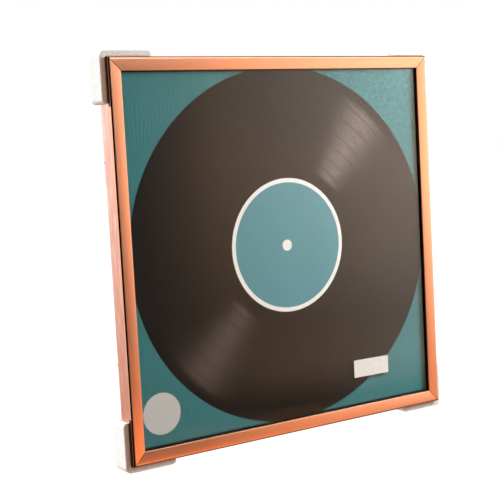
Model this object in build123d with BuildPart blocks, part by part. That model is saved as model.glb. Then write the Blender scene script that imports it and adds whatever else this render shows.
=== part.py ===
from build123d import *
import os
from math import asin, cos, radians, sin

# A wall frame for a twelve-inch record sleeve, still in its shipping corners.
# Millimetres. X runs to the right seen from the front, Y away from the viewer, Z up.
# The origin is under the middle of the whole part, level with the undersides of the lower guards.
# Two words are used below: "depth" is measured backwards from the front of the rails,
# and "inset" is measured from the outer edge of the rails towards the window.

# Driving sizes: the sheets and the rails that hold them
SHEET_SIZE = 316.0
SHEET_PLAY = 0.4
LIP_OVERLAP = 5.2
TUBE_WIDTH = 5.6
RAIL_DEPTH = 18.0

# Rail section
TUBE_WALL = 1.2
FACE_WALL = 1.4
LIP_DEPTH = 3.5
RETURN_WALL = 1.2
OUTER_RADIUS = 2.0
INNER_EDGE_RADIUS = 0.6
BACK_RADIUS = 0.5
FACE_FALL = 0.35
FACE_CROWN = 0.06
MITRE_GAP = 0.24

# Sheets held in the rebate, front to back
LAYER_AIR = 0.05
FILM = 0.1
GLAZING = 2.0
INSERT = 0.4
BOARD = 3.0
BOARD_RECESS = 0.3
CARD_COUNT = 2
CARD_TRIM = 1.0
SHEET_CORNER_RADIUS = 1.0

# Printed sticker on the front film, left bare
STICKER_WIDTH = 40.0
STICKER_HEIGHT = 16.0
STICKER_THICKNESS = 0.1
STICKER_TO_WINDOW_SIDE = 47.1
STICKER_TO_WINDOW_SILL = 25.5
STICKER_CORNER_RADIUS = 0.6
STICKER_TILT = -0.6

# Corner keys inside the rails, and their countersunk screws
KEY_LEG = 40.0
KEY_PLAY = 0.1
KEY_END_CHAMFER = 0.8
KEY_SCREW_FROM_CORNER = 24.0
KEY_SCREW_RADIUS = 1.0
KEY_SCREW_HEAD_RADIUS = 1.9
KEY_SCREW_HEAD_DEPTH = 0.9
KEY_SCREW_LENGTH = 6.0
HOLE_CLEARANCE = 0.05

# Turn buttons on the back of the rails, and their pan-head screws
BUTTON_FROM_MIDDLE = 82.0
BUTTON_REACH = 20.0
BUTTON_WIDTH = 5.2
BUTTON_THICKNESS = 1.0
BUTTON_TAB_HEIGHT = 2.4
BUTTON_TAB_RUN = 1.2
BUTTON_BEND_RADIUS = 0.9
BUTTON_GAP = 0.15
BUTTON_SCREW_RADIUS = 1.2
BUTTON_SCREW_HEAD_RADIUS = 2.2
BUTTON_SCREW_HEAD_HEIGHT = 1.3
BUTTON_SCREW_CROWN = 0.4
BUTTON_SCREW_LENGTH = 6.0
BUTTON_SCREW_PLAY = 0.1
RECESS_WIDTH = 0.6
RECESS_SPAN = 2.2
RECESS_DEPTH = 0.7

# Hanger on the backing board: a riveted strap with a rolled eye, and its wire loop
HANGER_BELOW_TOP = 34.0
STRAP_WIDTH = 11.0
STRAP_LENGTH = 13.0
STRAP_THICKNESS = 1.0
EYE_LENGTH = 8.0
EYE_RADIUS = 2.1
LOOP_WIRE_RADIUS = 1.0
LOOP_WIRE_PLAY = 0.1
LOOP_WIDTH = 24.0
LOOP_DROP = 21.0
LOOP_CORNER_RADIUS = 2.6
LOOP_END_RADIUS = 8.0
RIVET_RADIUS = 1.5
RIVET_HEAD_RADIUS = 2.8
RIVET_HEAD_HEIGHT = 0.8
RIVET_FROM_EYE = 8.5

# Foam corner guards
GUARD_WALL = 5.0
GUARD_GAP = 0.3
GUARD_LEG_UP = 36.5
GUARD_LEG_ACROSS = 41.0
GUARD_FRONT_SETBACK = 4.2
GUARD_BACK_WALL = 5.5
GUARD_LIP_WIDTH = 14.0
GUARD_CORNER_RADIUS = 5.5
GUARD_END_RADIUS = 3.5
GUARD_LIP_END_RADIUS = 4.0
GUARD_LIP_INNER_RADIUS = 3.0
GUARD_EDGE_RADIUS = 0.7

CUT_OVERRUN = 1.0

# Sizes that follow from those above
TUBE_AND_PLAY = TUBE_WIDTH + SHEET_PLAY
FRAME_SIZE = SHEET_SIZE + 2 * TUBE_AND_PLAY
HALF_FRAME = FRAME_SIZE / 2
FACE_WIDTH = TUBE_AND_PLAY + LIP_OVERLAP
HALF_WINDOW = HALF_FRAME - FACE_WIDTH
GUARD_BACK_DEPTH = RAIL_DEPTH + GUARD_GAP + GUARD_BACK_WALL
GUARD_STAND = GUARD_GAP + GUARD_WALL
FRONT_Y = -GUARD_BACK_DEPTH / 2
MIDDLE_Z = GUARD_STAND + HALF_FRAME
PIVOT_INSET = TUBE_WIDTH / 2

FILM_FRONT_DEPTH = LIP_DEPTH + LAYER_AIR
GLAZING_DEPTH = FILM_FRONT_DEPTH + FILM + LAYER_AIR
FILM_BACK_DEPTH = GLAZING_DEPTH + GLAZING + LAYER_AIR
INSERT_DEPTH = FILM_BACK_DEPTH + FILM + LAYER_AIR
CARDS_DEPTH = INSERT_DEPTH + INSERT + LAYER_AIR
BOARD_DEPTH = RAIL_DEPTH - BOARD_RECESS - BOARD
BOARD_BACK_DEPTH = BOARD_DEPTH + BOARD
CARD = (BOARD_DEPTH - CARDS_DEPTH) / CARD_COUNT - LAYER_AIR
LEAF_DEPTH = RAIL_DEPTH + BUTTON_GAP
BUTTON_HEAD_DEPTH = LEAF_DEPTH + BUTTON_THICKNESS + BUTTON_GAP
EYE_DEPTH = BOARD_BACK_DEPTH + EYE_RADIUS
EYE_Z = MIDDLE_Z + SHEET_SIZE / 2 - HANGER_BELOW_TOP

# The middle of the frame, about which the four sides and the four corners repeat
TURN_AXIS = Axis((0, 0, MIDDLE_Z), (0, 1, 0))
SIDE_TURNS = {"bottom": 0, "left": 90, "top": 180, "right": 270}
CORNER_TURNS = {"bottom_left": 0, "top_left": 90, "top_right": 180, "bottom_right": 270}
BUTTON_NAMES = {
    "bottom": ("left", "right"),
    "left": ("upper", "lower"),
    "top": ("right", "left"),
    "right": ("lower", "upper"),
}

os.makedirs("parts", exist_ok=True)


def back_plane(depth):
    """The plane at that depth seen from behind: its X is the part's -X, its Y is the part's +Z."""
    return Plane(origin=(0, FRONT_Y + depth, MIDDLE_Z), x_dir=(-1, 0, 0), z_dir=(0, 1, 0))


def front_plane(depth):
    """The plane at that depth seen from the front: its X and Y are the part's +X and +Z."""
    return Plane(origin=(0, FRONT_Y + depth, MIDDLE_Z), x_dir=(1, 0, 0), z_dir=(0, -1, 0))


def corner_plane(depth):
    """The plane at that depth with its origin at the rails' lower left corner, X up and Y to the right."""
    corner = (-HALF_FRAME, FRONT_Y + depth, GUARD_STAND)
    return Plane(origin=corner, x_dir=(0, 0, 1), z_dir=(0, 1, 0))


def save(part, name):
    """Label a finished piece and write its STEP file."""
    part.label = name
    export_step(part, f"parts/{name}.step")


# Rails: a hollow section with a thin face and a return that the glazing sits behind
def section_point(depth, inset):
    """A point of the lower rail's section, on the YZ plane."""
    return (FRONT_Y + depth, GUARD_STAND + inset)


def rail_outline():
    """The outside of the rail's section, as a closed chain of edges."""
    face_start = section_point(0, OUTER_RADIUS)
    face_middle_inset = (OUTER_RADIUS + FACE_WIDTH - INNER_EDGE_RADIUS) / 2
    face_middle = section_point(FACE_FALL / 2 - FACE_CROWN, face_middle_inset)
    face_end = section_point(FACE_FALL, FACE_WIDTH - INNER_EDGE_RADIUS)
    lip_start = section_point(FACE_FALL + INNER_EDGE_RADIUS, FACE_WIDTH)
    side_end = section_point(RAIL_DEPTH - BACK_RADIUS, 0)
    back_start = section_point(RAIL_DEPTH, BACK_RADIUS)
    outer_centre = section_point(OUTER_RADIUS, OUTER_RADIUS)
    edge_centre = section_point(FACE_FALL + INNER_EDGE_RADIUS, FACE_WIDTH - INNER_EDGE_RADIUS)
    back_centre = section_point(RAIL_DEPTH - BACK_RADIUS, BACK_RADIUS)
    CenterArc(outer_centre, OUTER_RADIUS, 180, 90)
    ThreePointArc(face_start, face_middle, face_end)
    CenterArc(edge_centre, INNER_EDGE_RADIUS, 90, 90)
    Polyline(
        lip_start,
        section_point(LIP_DEPTH, FACE_WIDTH),
        section_point(LIP_DEPTH, FACE_WIDTH - RETURN_WALL),
        section_point(FACE_WALL, FACE_WIDTH - RETURN_WALL),
        section_point(FACE_WALL, TUBE_WIDTH),
        section_point(RAIL_DEPTH, TUBE_WIDTH),
        back_start,
    )
    CenterArc(back_centre, BACK_RADIUS, 270, 90)
    Line(side_end, section_point(OUTER_RADIUS, 0))


def rail_cavity():
    """The chamber inside the rail's tube, as a closed chain of edges."""
    chamber_radius = OUTER_RADIUS - TUBE_WALL
    front = FACE_WALL
    chamber_centre = section_point(front + chamber_radius, TUBE_WALL + chamber_radius)
    CenterArc(chamber_centre, chamber_radius, 180, 90)
    Polyline(
        section_point(front, TUBE_WALL + chamber_radius),
        section_point(front, TUBE_WIDTH - TUBE_WALL),
        section_point(RAIL_DEPTH - TUBE_WALL, TUBE_WIDTH - TUBE_WALL),
        section_point(RAIL_DEPTH - TUBE_WALL, TUBE_WALL),
        section_point(front + chamber_radius, TUBE_WALL),
    )


def mitre_plane(side):
    """The mitre at the lower rail's end on that side (-1 left, 1 right), normal into the rail."""
    half_gap = MITRE_GAP / 2 / cos(radians(45))
    foot = (side * (HALF_FRAME - half_gap), 0, GUARD_STAND)
    return Plane(origin=foot, z_dir=(-side, 0, -1))


with BuildPart() as rail:
    with BuildSketch(Plane.YZ.offset(-HALF_FRAME)):
        with BuildLine():
            rail_outline()
        make_face()
        with BuildLine():
            rail_cavity()
        make_face(mode=Mode.SUBTRACT)
    extrude(amount=FRAME_SIZE)
    split(bisect_by=mitre_plane(-1), keep=Keep.TOP)
    split(bisect_by=mitre_plane(1), keep=Keep.TOP)
    screw_line = PIVOT_INSET - HALF_FRAME
    with BuildSketch(back_plane(RAIL_DEPTH)):
        with Locations((-BUTTON_FROM_MIDDLE, screw_line), (BUTTON_FROM_MIDDLE, screw_line)):
            Circle(BUTTON_SCREW_RADIUS + HOLE_CLEARANCE)
    extrude(amount=-TUBE_WALL - CUT_OVERRUN, mode=Mode.SUBTRACT)
    key_screw_x = HALF_FRAME - KEY_SCREW_FROM_CORNER
    with Locations(back_plane(RAIL_DEPTH)):
        with Locations((-key_screw_x, screw_line), (key_screw_x, screw_line)):
            CounterSinkHole(
                radius=KEY_SCREW_RADIUS + HOLE_CLEARANCE,
                counter_sink_radius=KEY_SCREW_HEAD_RADIUS + HOLE_CLEARANCE,
                depth=TUBE_WALL + CUT_OVERRUN,
            )

for side, turn in SIDE_TURNS.items():
    save(rail.part.rotate(TURN_AXIS, turn), f"rail_{side}")


# Corner keys: die-cast angles pushed into the hollow rails at each mitre
key_start = TUBE_WALL + KEY_PLAY
key_width = TUBE_WIDTH - 2 * key_start
key_front = FACE_WALL + OUTER_RADIUS - TUBE_WALL
key_back = RAIL_DEPTH - TUBE_WALL - KEY_PLAY

with BuildPart() as corner_key:
    with BuildSketch(corner_plane(key_front)):
        with BuildLine():
            Polyline(
                (key_start, key_start),
                (KEY_LEG, key_start),
                (KEY_LEG, key_start + key_width),
                (key_start + key_width, key_start + key_width),
                (key_start + key_width, KEY_LEG),
                (key_start, KEY_LEG),
                close=True,
            )
        make_face()
    extrude(amount=key_back - key_front)
    leg_ends = corner_key.faces().filter_by(Axis.X).sort_by(Axis.X)[-1:]
    leg_ends += corner_key.faces().filter_by(Axis.Z).sort_by(Axis.Z)[-1:]
    chamfer([edge for end in leg_ends for edge in end.edges()], length=KEY_END_CHAMFER)
    with BuildSketch(corner_plane(key_back)):
        with Locations((KEY_SCREW_FROM_CORNER, PIVOT_INSET), (PIVOT_INSET, KEY_SCREW_FROM_CORNER)):
            Circle(KEY_SCREW_RADIUS + HOLE_CLEARANCE)
    extrude(amount=-KEY_SCREW_LENGTH, mode=Mode.SUBTRACT)

for corner, turn in CORNER_TURNS.items():
    save(corner_key.part.rotate(TURN_AXIS, turn), f"corner_key_{corner}")


def countersunk_screw():
    """One flat-head screw whose head is level with the origin, its shank along -Y."""
    with BuildPart() as screw:
        with BuildSketch(Plane.XY):
            with BuildLine():
                Polyline(
                    (0, 0),
                    (KEY_SCREW_HEAD_RADIUS, 0),
                    (KEY_SCREW_RADIUS, -KEY_SCREW_HEAD_DEPTH),
                    (KEY_SCREW_RADIUS, KEY_SCREW_RADIUS - KEY_SCREW_LENGTH),
                    (0, -KEY_SCREW_LENGTH),
                    close=True,
                )
            make_face()
        revolve(axis=Axis.Y)
        with BuildSketch(Plane.XZ):
            Rectangle(RECESS_SPAN, RECESS_WIDTH)
            Rectangle(RECESS_WIDTH, RECESS_SPAN)
        extrude(amount=RECESS_DEPTH, mode=Mode.SUBTRACT)
    return screw.part


flat_screw = countersunk_screw()
screw_y = FRONT_Y + RAIL_DEPTH
screw_places = [
    (KEY_SCREW_FROM_CORNER - HALF_FRAME, screw_y, GUARD_STAND + PIVOT_INSET),
    (PIVOT_INSET - HALF_FRAME, screw_y, GUARD_STAND + KEY_SCREW_FROM_CORNER),
]
with BuildPart() as corner_screws:
    for turn in CORNER_TURNS.values():
        for place in screw_places:
            add(flat_screw.moved(Location(place)).rotate(TURN_AXIS, turn))
save(corner_screws.part, "corner_screws")


# Sheets in the rebate, all cut to the same square
def square_sheet(depth, thickness, size, corner_radius=0.0):
    """A square sheet whose front lies at that depth."""
    with BuildPart() as sheet:
        with BuildSketch(back_plane(depth)):
            if corner_radius > 0:
                RectangleRounded(size, size, corner_radius)
            else:
                Rectangle(size, size)
        extrude(amount=thickness)
    return sheet.part


save(square_sheet(FILM_FRONT_DEPTH, FILM, SHEET_SIZE), "protective_film_front")
save(square_sheet(GLAZING_DEPTH, GLAZING, SHEET_SIZE), "acrylic_glazing")
save(square_sheet(FILM_BACK_DEPTH, FILM, SHEET_SIZE), "protective_film_back")
save(square_sheet(INSERT_DEPTH, INSERT, SHEET_SIZE), "printed_insert")
for number in range(CARD_COUNT):
    card_depth = CARDS_DEPTH + number * (CARD + LAYER_AIR)
    card = square_sheet(card_depth, CARD, SHEET_SIZE - CARD_TRIM, SHEET_CORNER_RADIUS)
    save(card, f"filler_card_{number + 1}")

with BuildPart() as backing_board:
    with BuildSketch(back_plane(BOARD_DEPTH)):
        RectangleRounded(SHEET_SIZE, SHEET_SIZE, SHEET_CORNER_RADIUS)
        with Locations((0, EYE_Z - RIVET_FROM_EYE - MIDDLE_Z)):
            Circle(RIVET_RADIUS + HOLE_CLEARANCE, mode=Mode.SUBTRACT)
    extrude(amount=BOARD)
save(backing_board.part, "backing_board")

sticker_x = HALF_WINDOW - STICKER_TO_WINDOW_SIDE - STICKER_WIDTH / 2
sticker_rise = STICKER_TO_WINDOW_SILL + STICKER_HEIGHT / 2 - HALF_WINDOW
with BuildPart() as bare_sticker:
    with BuildSketch(front_plane(FILM_FRONT_DEPTH)):
        with Locations((sticker_x, sticker_rise)):
            RectangleRounded(STICKER_WIDTH, STICKER_HEIGHT, STICKER_CORNER_RADIUS, rotation=STICKER_TILT)
    extrude(amount=STICKER_THICKNESS)
save(bare_sticker.part, "bare_sticker")


# Turn buttons: bent leaves that swing over the board and keep the sheets in
leaf_z = GUARD_STAND + PIVOT_INSET
leaf_y = FRONT_Y + LEAF_DEPTH + BUTTON_THICKNESS / 2
tail_z = leaf_z - BUTTON_WIDTH / 2
tip_z = leaf_z + BUTTON_REACH

with BuildPart() as turn_button:
    with BuildSketch(Plane.YZ):
        with BuildLine():
            FilletPolyline(
                (leaf_y, tail_z),
                (leaf_y, tip_z - BUTTON_TAB_RUN),
                (leaf_y + BUTTON_TAB_HEIGHT, tip_z),
                radius=BUTTON_BEND_RADIUS,
            )
        trace(line_width=BUTTON_THICKNESS)
    extrude(amount=BUTTON_WIDTH / 2, both=True)
    with BuildSketch(back_plane(LEAF_DEPTH - CUT_OVERRUN)):
        with Locations((0, leaf_z - MIDDLE_Z)):
            Circle(BUTTON_WIDTH / 2)
        with Locations((0, leaf_z + BUTTON_REACH / 2 + CUT_OVERRUN - MIDDLE_Z)):
            Rectangle(BUTTON_WIDTH, BUTTON_REACH + 2 * CUT_OVERRUN)
    extrude(amount=BUTTON_THICKNESS + BUTTON_TAB_HEIGHT + 2 * CUT_OVERRUN, mode=Mode.INTERSECT)
    with BuildSketch(back_plane(LEAF_DEPTH - CUT_OVERRUN)):
        with Locations((0, leaf_z - MIDDLE_Z)):
            Circle(BUTTON_SCREW_RADIUS + BUTTON_SCREW_PLAY)
    extrude(amount=BUTTON_THICKNESS + 2 * CUT_OVERRUN, mode=Mode.SUBTRACT)


def pan_screw():
    """One pan-head screw whose head starts at the origin and rises along +Y, its shank along -Y."""
    crown_radius = (BUTTON_SCREW_HEAD_RADIUS**2 + BUTTON_SCREW_CROWN**2) / (2 * BUTTON_SCREW_CROWN)
    half_angle = asin(BUTTON_SCREW_HEAD_RADIUS / crown_radius) / 2
    crown_middle = (
        crown_radius * sin(half_angle),
        BUTTON_SCREW_HEAD_HEIGHT - crown_radius * (1 - cos(half_angle)),
    )
    with BuildPart() as screw:
        with BuildSketch(Plane.XY):
            with BuildLine():
                Polyline(
                    (0, BUTTON_SCREW_HEAD_HEIGHT),
                    (0, -BUTTON_SCREW_LENGTH),
                    (BUTTON_SCREW_RADIUS, BUTTON_SCREW_RADIUS - BUTTON_SCREW_LENGTH),
                    (BUTTON_SCREW_RADIUS, 0),
                    (BUTTON_SCREW_HEAD_RADIUS, 0),
                    (BUTTON_SCREW_HEAD_RADIUS, BUTTON_SCREW_HEAD_HEIGHT - BUTTON_SCREW_CROWN),
                )
                ThreePointArc(
                    (BUTTON_SCREW_HEAD_RADIUS, BUTTON_SCREW_HEAD_HEIGHT - BUTTON_SCREW_CROWN),
                    crown_middle,
                    (0, BUTTON_SCREW_HEAD_HEIGHT),
                )
            make_face()
        revolve(axis=Axis.Y)
        with BuildSketch(Plane.XZ.offset(-BUTTON_SCREW_HEAD_HEIGHT)):
            Rectangle(RECESS_SPAN, RECESS_WIDTH)
            Rectangle(RECESS_WIDTH, RECESS_SPAN)
        extrude(amount=RECESS_DEPTH, mode=Mode.SUBTRACT)
    return screw.part


domed_screw = pan_screw()
button_places = [(-BUTTON_FROM_MIDDLE, 0), (BUTTON_FROM_MIDDLE, 1)]
with BuildPart() as button_screws:
    for side, turn in SIDE_TURNS.items():
        for x, number in button_places:
            head_place = Location((x, FRONT_Y + BUTTON_HEAD_DEPTH, leaf_z))
            add(domed_screw.moved(head_place).rotate(TURN_AXIS, turn))
            leaf = turn_button.part.moved(Location((x, 0, 0))).rotate(TURN_AXIS, turn)
            save(leaf, f"turn_button_{side}_{BUTTON_NAMES[side][number]}")
save(button_screws.part, "button_screws")


# Hanger: a strap with a rolled eye, riveted through the board, and a wire loop in the eye
eye_y = FRONT_Y + EYE_DEPTH
eye_bore = LOOP_WIRE_RADIUS + LOOP_WIRE_PLAY
rivet_z = EYE_Z - RIVET_FROM_EYE

with BuildPart() as hanger_strap:
    with BuildSketch(Plane.YZ):
        with Locations((eye_y, EYE_Z)):
            Circle(EYE_RADIUS)
        with BuildLine():
            Polyline(
                (eye_y, EYE_Z),
                (eye_y, EYE_Z - EYE_RADIUS),
                (eye_y - EYE_RADIUS, EYE_Z - EYE_RADIUS),
                (eye_y - EYE_RADIUS, EYE_Z),
                close=True,
            )
        make_face()
        with Locations((eye_y, EYE_Z)):
            Circle(eye_bore, mode=Mode.SUBTRACT)
    extrude(amount=EYE_LENGTH / 2, both=True)
    with BuildSketch(back_plane(BOARD_BACK_DEPTH)):
        with Locations((0, EYE_Z - MIDDLE_Z - EYE_RADIUS - (STRAP_LENGTH - EYE_RADIUS) / 2)):
            RectangleRounded(STRAP_WIDTH, STRAP_LENGTH - EYE_RADIUS, STRAP_THICKNESS)
        with Locations((0, rivet_z - MIDDLE_Z)):
            Circle(RIVET_RADIUS + HOLE_CLEARANCE, mode=Mode.SUBTRACT)
    extrude(amount=STRAP_THICKNESS)
save(hanger_strap.part, "hanger_strap")

with BuildPart() as hanger_loop:
    with BuildLine() as loop_line:
        FilletPolyline(
            (LOOP_WIDTH / 2, eye_y, EYE_Z),
            (LOOP_WIDTH / 2, eye_y, EYE_Z - LOOP_DROP),
            (-LOOP_WIDTH / 2, eye_y, EYE_Z - LOOP_DROP),
            (-LOOP_WIDTH / 2, eye_y, EYE_Z),
            radius=[LOOP_CORNER_RADIUS, LOOP_END_RADIUS, LOOP_END_RADIUS, LOOP_CORNER_RADIUS],
            close=True,
        )
    loop_path = loop_line.wires()[0]
    with BuildSketch(Plane(origin=loop_path @ 0, z_dir=loop_path % 0)):
        Circle(LOOP_WIRE_RADIUS)
    sweep(path=loop_path)
save(hanger_loop.part, "hanger_loop")

with BuildPart() as hanger_rivet:
    with BuildSketch(back_plane(BOARD_DEPTH)):
        with Locations((0, rivet_z - MIDDLE_Z)):
            Circle(RIVET_RADIUS)
    extrude(amount=BOARD + STRAP_THICKNESS)
    with BuildSketch(back_plane(BOARD_BACK_DEPTH + STRAP_THICKNESS)):
        with Locations((0, rivet_z - MIDDLE_Z)):
            Circle(RIVET_HEAD_RADIUS)
    extrude(amount=RIVET_HEAD_HEIGHT)
    head_rim = hanger_rivet.edges().filter_by(GeomType.CIRCLE).sort_by(Axis.Y)[-1:]
    fillet(head_rim, radius=RIVET_HEAD_HEIGHT / 2)
save(hanger_rivet.part, "hanger_rivet")


# Corner guards: foam angles round each corner, open in front, with a lip behind the rails
def guard_outline(inner, inner_corner_radius, inner_end_radius):
    """The L of a guard on the corner plane, from its outer faces in to the given inset."""
    outer = -GUARD_STAND
    FilletPolyline(
        (outer, outer),
        (GUARD_LEG_UP, outer),
        (GUARD_LEG_UP, inner),
        (inner, inner),
        (inner, GUARD_LEG_ACROSS),
        (outer, GUARD_LEG_ACROSS),
        radius=[
            GUARD_CORNER_RADIUS,
            GUARD_END_RADIUS,
            inner_end_radius,
            inner_corner_radius,
            inner_end_radius,
            GUARD_END_RADIUS,
        ],
        close=True,
    )


with BuildPart() as corner_guard:
    with BuildSketch(corner_plane(GUARD_FRONT_SETBACK)):
        with BuildLine():
            guard_outline(-GUARD_GAP, 0, 0)
        make_face()
    extrude(amount=GUARD_BACK_DEPTH - GUARD_FRONT_SETBACK)
    with BuildSketch(corner_plane(RAIL_DEPTH + GUARD_GAP)):
        with BuildLine():
            guard_outline(GUARD_LIP_WIDTH, GUARD_LIP_INNER_RADIUS, GUARD_LIP_END_RADIUS)
        make_face()
    extrude(amount=GUARD_BACK_WALL)
    fillet(corner_guard.edges().group_by(Axis.Y)[0], radius=GUARD_EDGE_RADIUS)
    fillet(corner_guard.edges().group_by(Axis.Y)[-1], radius=GUARD_EDGE_RADIUS)

# The lower right guard mirrors the lower left one, and the upper two are the same pair turned half round
left_guard = corner_guard.part
right_guard = left_guard.mirror(Plane.YZ)
for corner, turn in {"bottom_left": 0, "top_right": 180}.items():
    save(left_guard.rotate(TURN_AXIS, turn), f"corner_guard_{corner}")
for corner, turn in {"bottom_right": 0, "top_left": 180}.items():
    save(right_guard.rotate(TURN_AXIS, turn), f"corner_guard_{corner}")
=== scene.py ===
"""Looks for a square record frame in its shipping guards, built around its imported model.

Everything stands in the model's own frame: X to the right seen from the front, Y away from the
viewer, Z up, with the origin under the middle of the frame. Meshes are in metres. A class whose
sizes are in millimetres says so. A Range says where an ease starts and where it is complete.
"""

import logging
import math
from dataclasses import dataclass
from enum import Enum
from functools import partial, reduce
from typing import Optional, Sequence, Union

import bmesh
import bpy
from mathutils import Matrix, Vector

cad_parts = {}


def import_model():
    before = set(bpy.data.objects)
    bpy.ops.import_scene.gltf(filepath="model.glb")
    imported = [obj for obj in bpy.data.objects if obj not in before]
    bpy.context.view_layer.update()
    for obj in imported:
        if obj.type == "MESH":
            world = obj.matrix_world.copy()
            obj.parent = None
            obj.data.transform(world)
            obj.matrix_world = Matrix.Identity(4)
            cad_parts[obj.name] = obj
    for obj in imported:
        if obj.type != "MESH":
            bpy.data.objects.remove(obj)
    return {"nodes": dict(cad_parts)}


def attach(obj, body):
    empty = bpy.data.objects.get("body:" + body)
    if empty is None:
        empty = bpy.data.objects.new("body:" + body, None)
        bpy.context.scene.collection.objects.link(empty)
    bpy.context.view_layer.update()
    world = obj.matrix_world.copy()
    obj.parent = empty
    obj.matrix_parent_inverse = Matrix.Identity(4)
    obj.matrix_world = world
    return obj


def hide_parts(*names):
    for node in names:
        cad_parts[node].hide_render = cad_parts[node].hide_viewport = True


MM = 0.001
ROOT_BODY = "frame"

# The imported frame's own sizes in millimetres
HALF_FRAME = 164.0
FRONT_Y = -11.9
BACK_Y = 6.1
MIDDLE_Z = 169.3
FACE_WIDTH = 11.2
TUBE_WIDTH = 5.6
OUTER_RADIUS = 2.0
FOAM_BEAD = 3.4
WELD_REACH = 0.001

Socket = bpy.types.NodeSocket
Value = Union[float, Sequence[float], Socket]
Colour = tuple[float, float, float]
Spot = tuple[float, float]
Range = tuple[float, float]
Stops = tuple[tuple[float, float], ...]

log = logging.getLogger("record_frame")


class Side(Enum):
    """The four sides of the frame, each with its turn about the frame's middle in degrees."""

    BOTTOM = 0
    LEFT = 90
    TOP = 180
    RIGHT = 270


class Corner(Enum):
    """The four corners, each with its turn about the frame's middle in degrees."""

    BOTTOM_LEFT = 0
    TOP_LEFT = 90
    TOP_RIGHT = 180
    BOTTOM_RIGHT = 270


class Run(Enum):
    """The direction that a rail and its brushed lines run in."""

    ACROSS = 0
    UPRIGHT = 2


class Kind(Enum):
    """The kinds of input and output that the node groups have."""

    NUMBER = "NodeSocketFloat"
    WHOLE = "NodeSocketInt"
    VECTOR = "NodeSocketVector"
    GEOMETRY = "NodeSocketGeometry"
    OBJECT = "NodeSocketObject"
    MATERIAL = "NodeSocketMaterial"


def smoothstep(low: float, high: float, value: float) -> float:
    """Ease from 0 at low to 1 at high."""
    share = min(1.0, max(0.0, (value - low) / (high - low)))
    return share * share * (3 - 2 * share)


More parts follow.
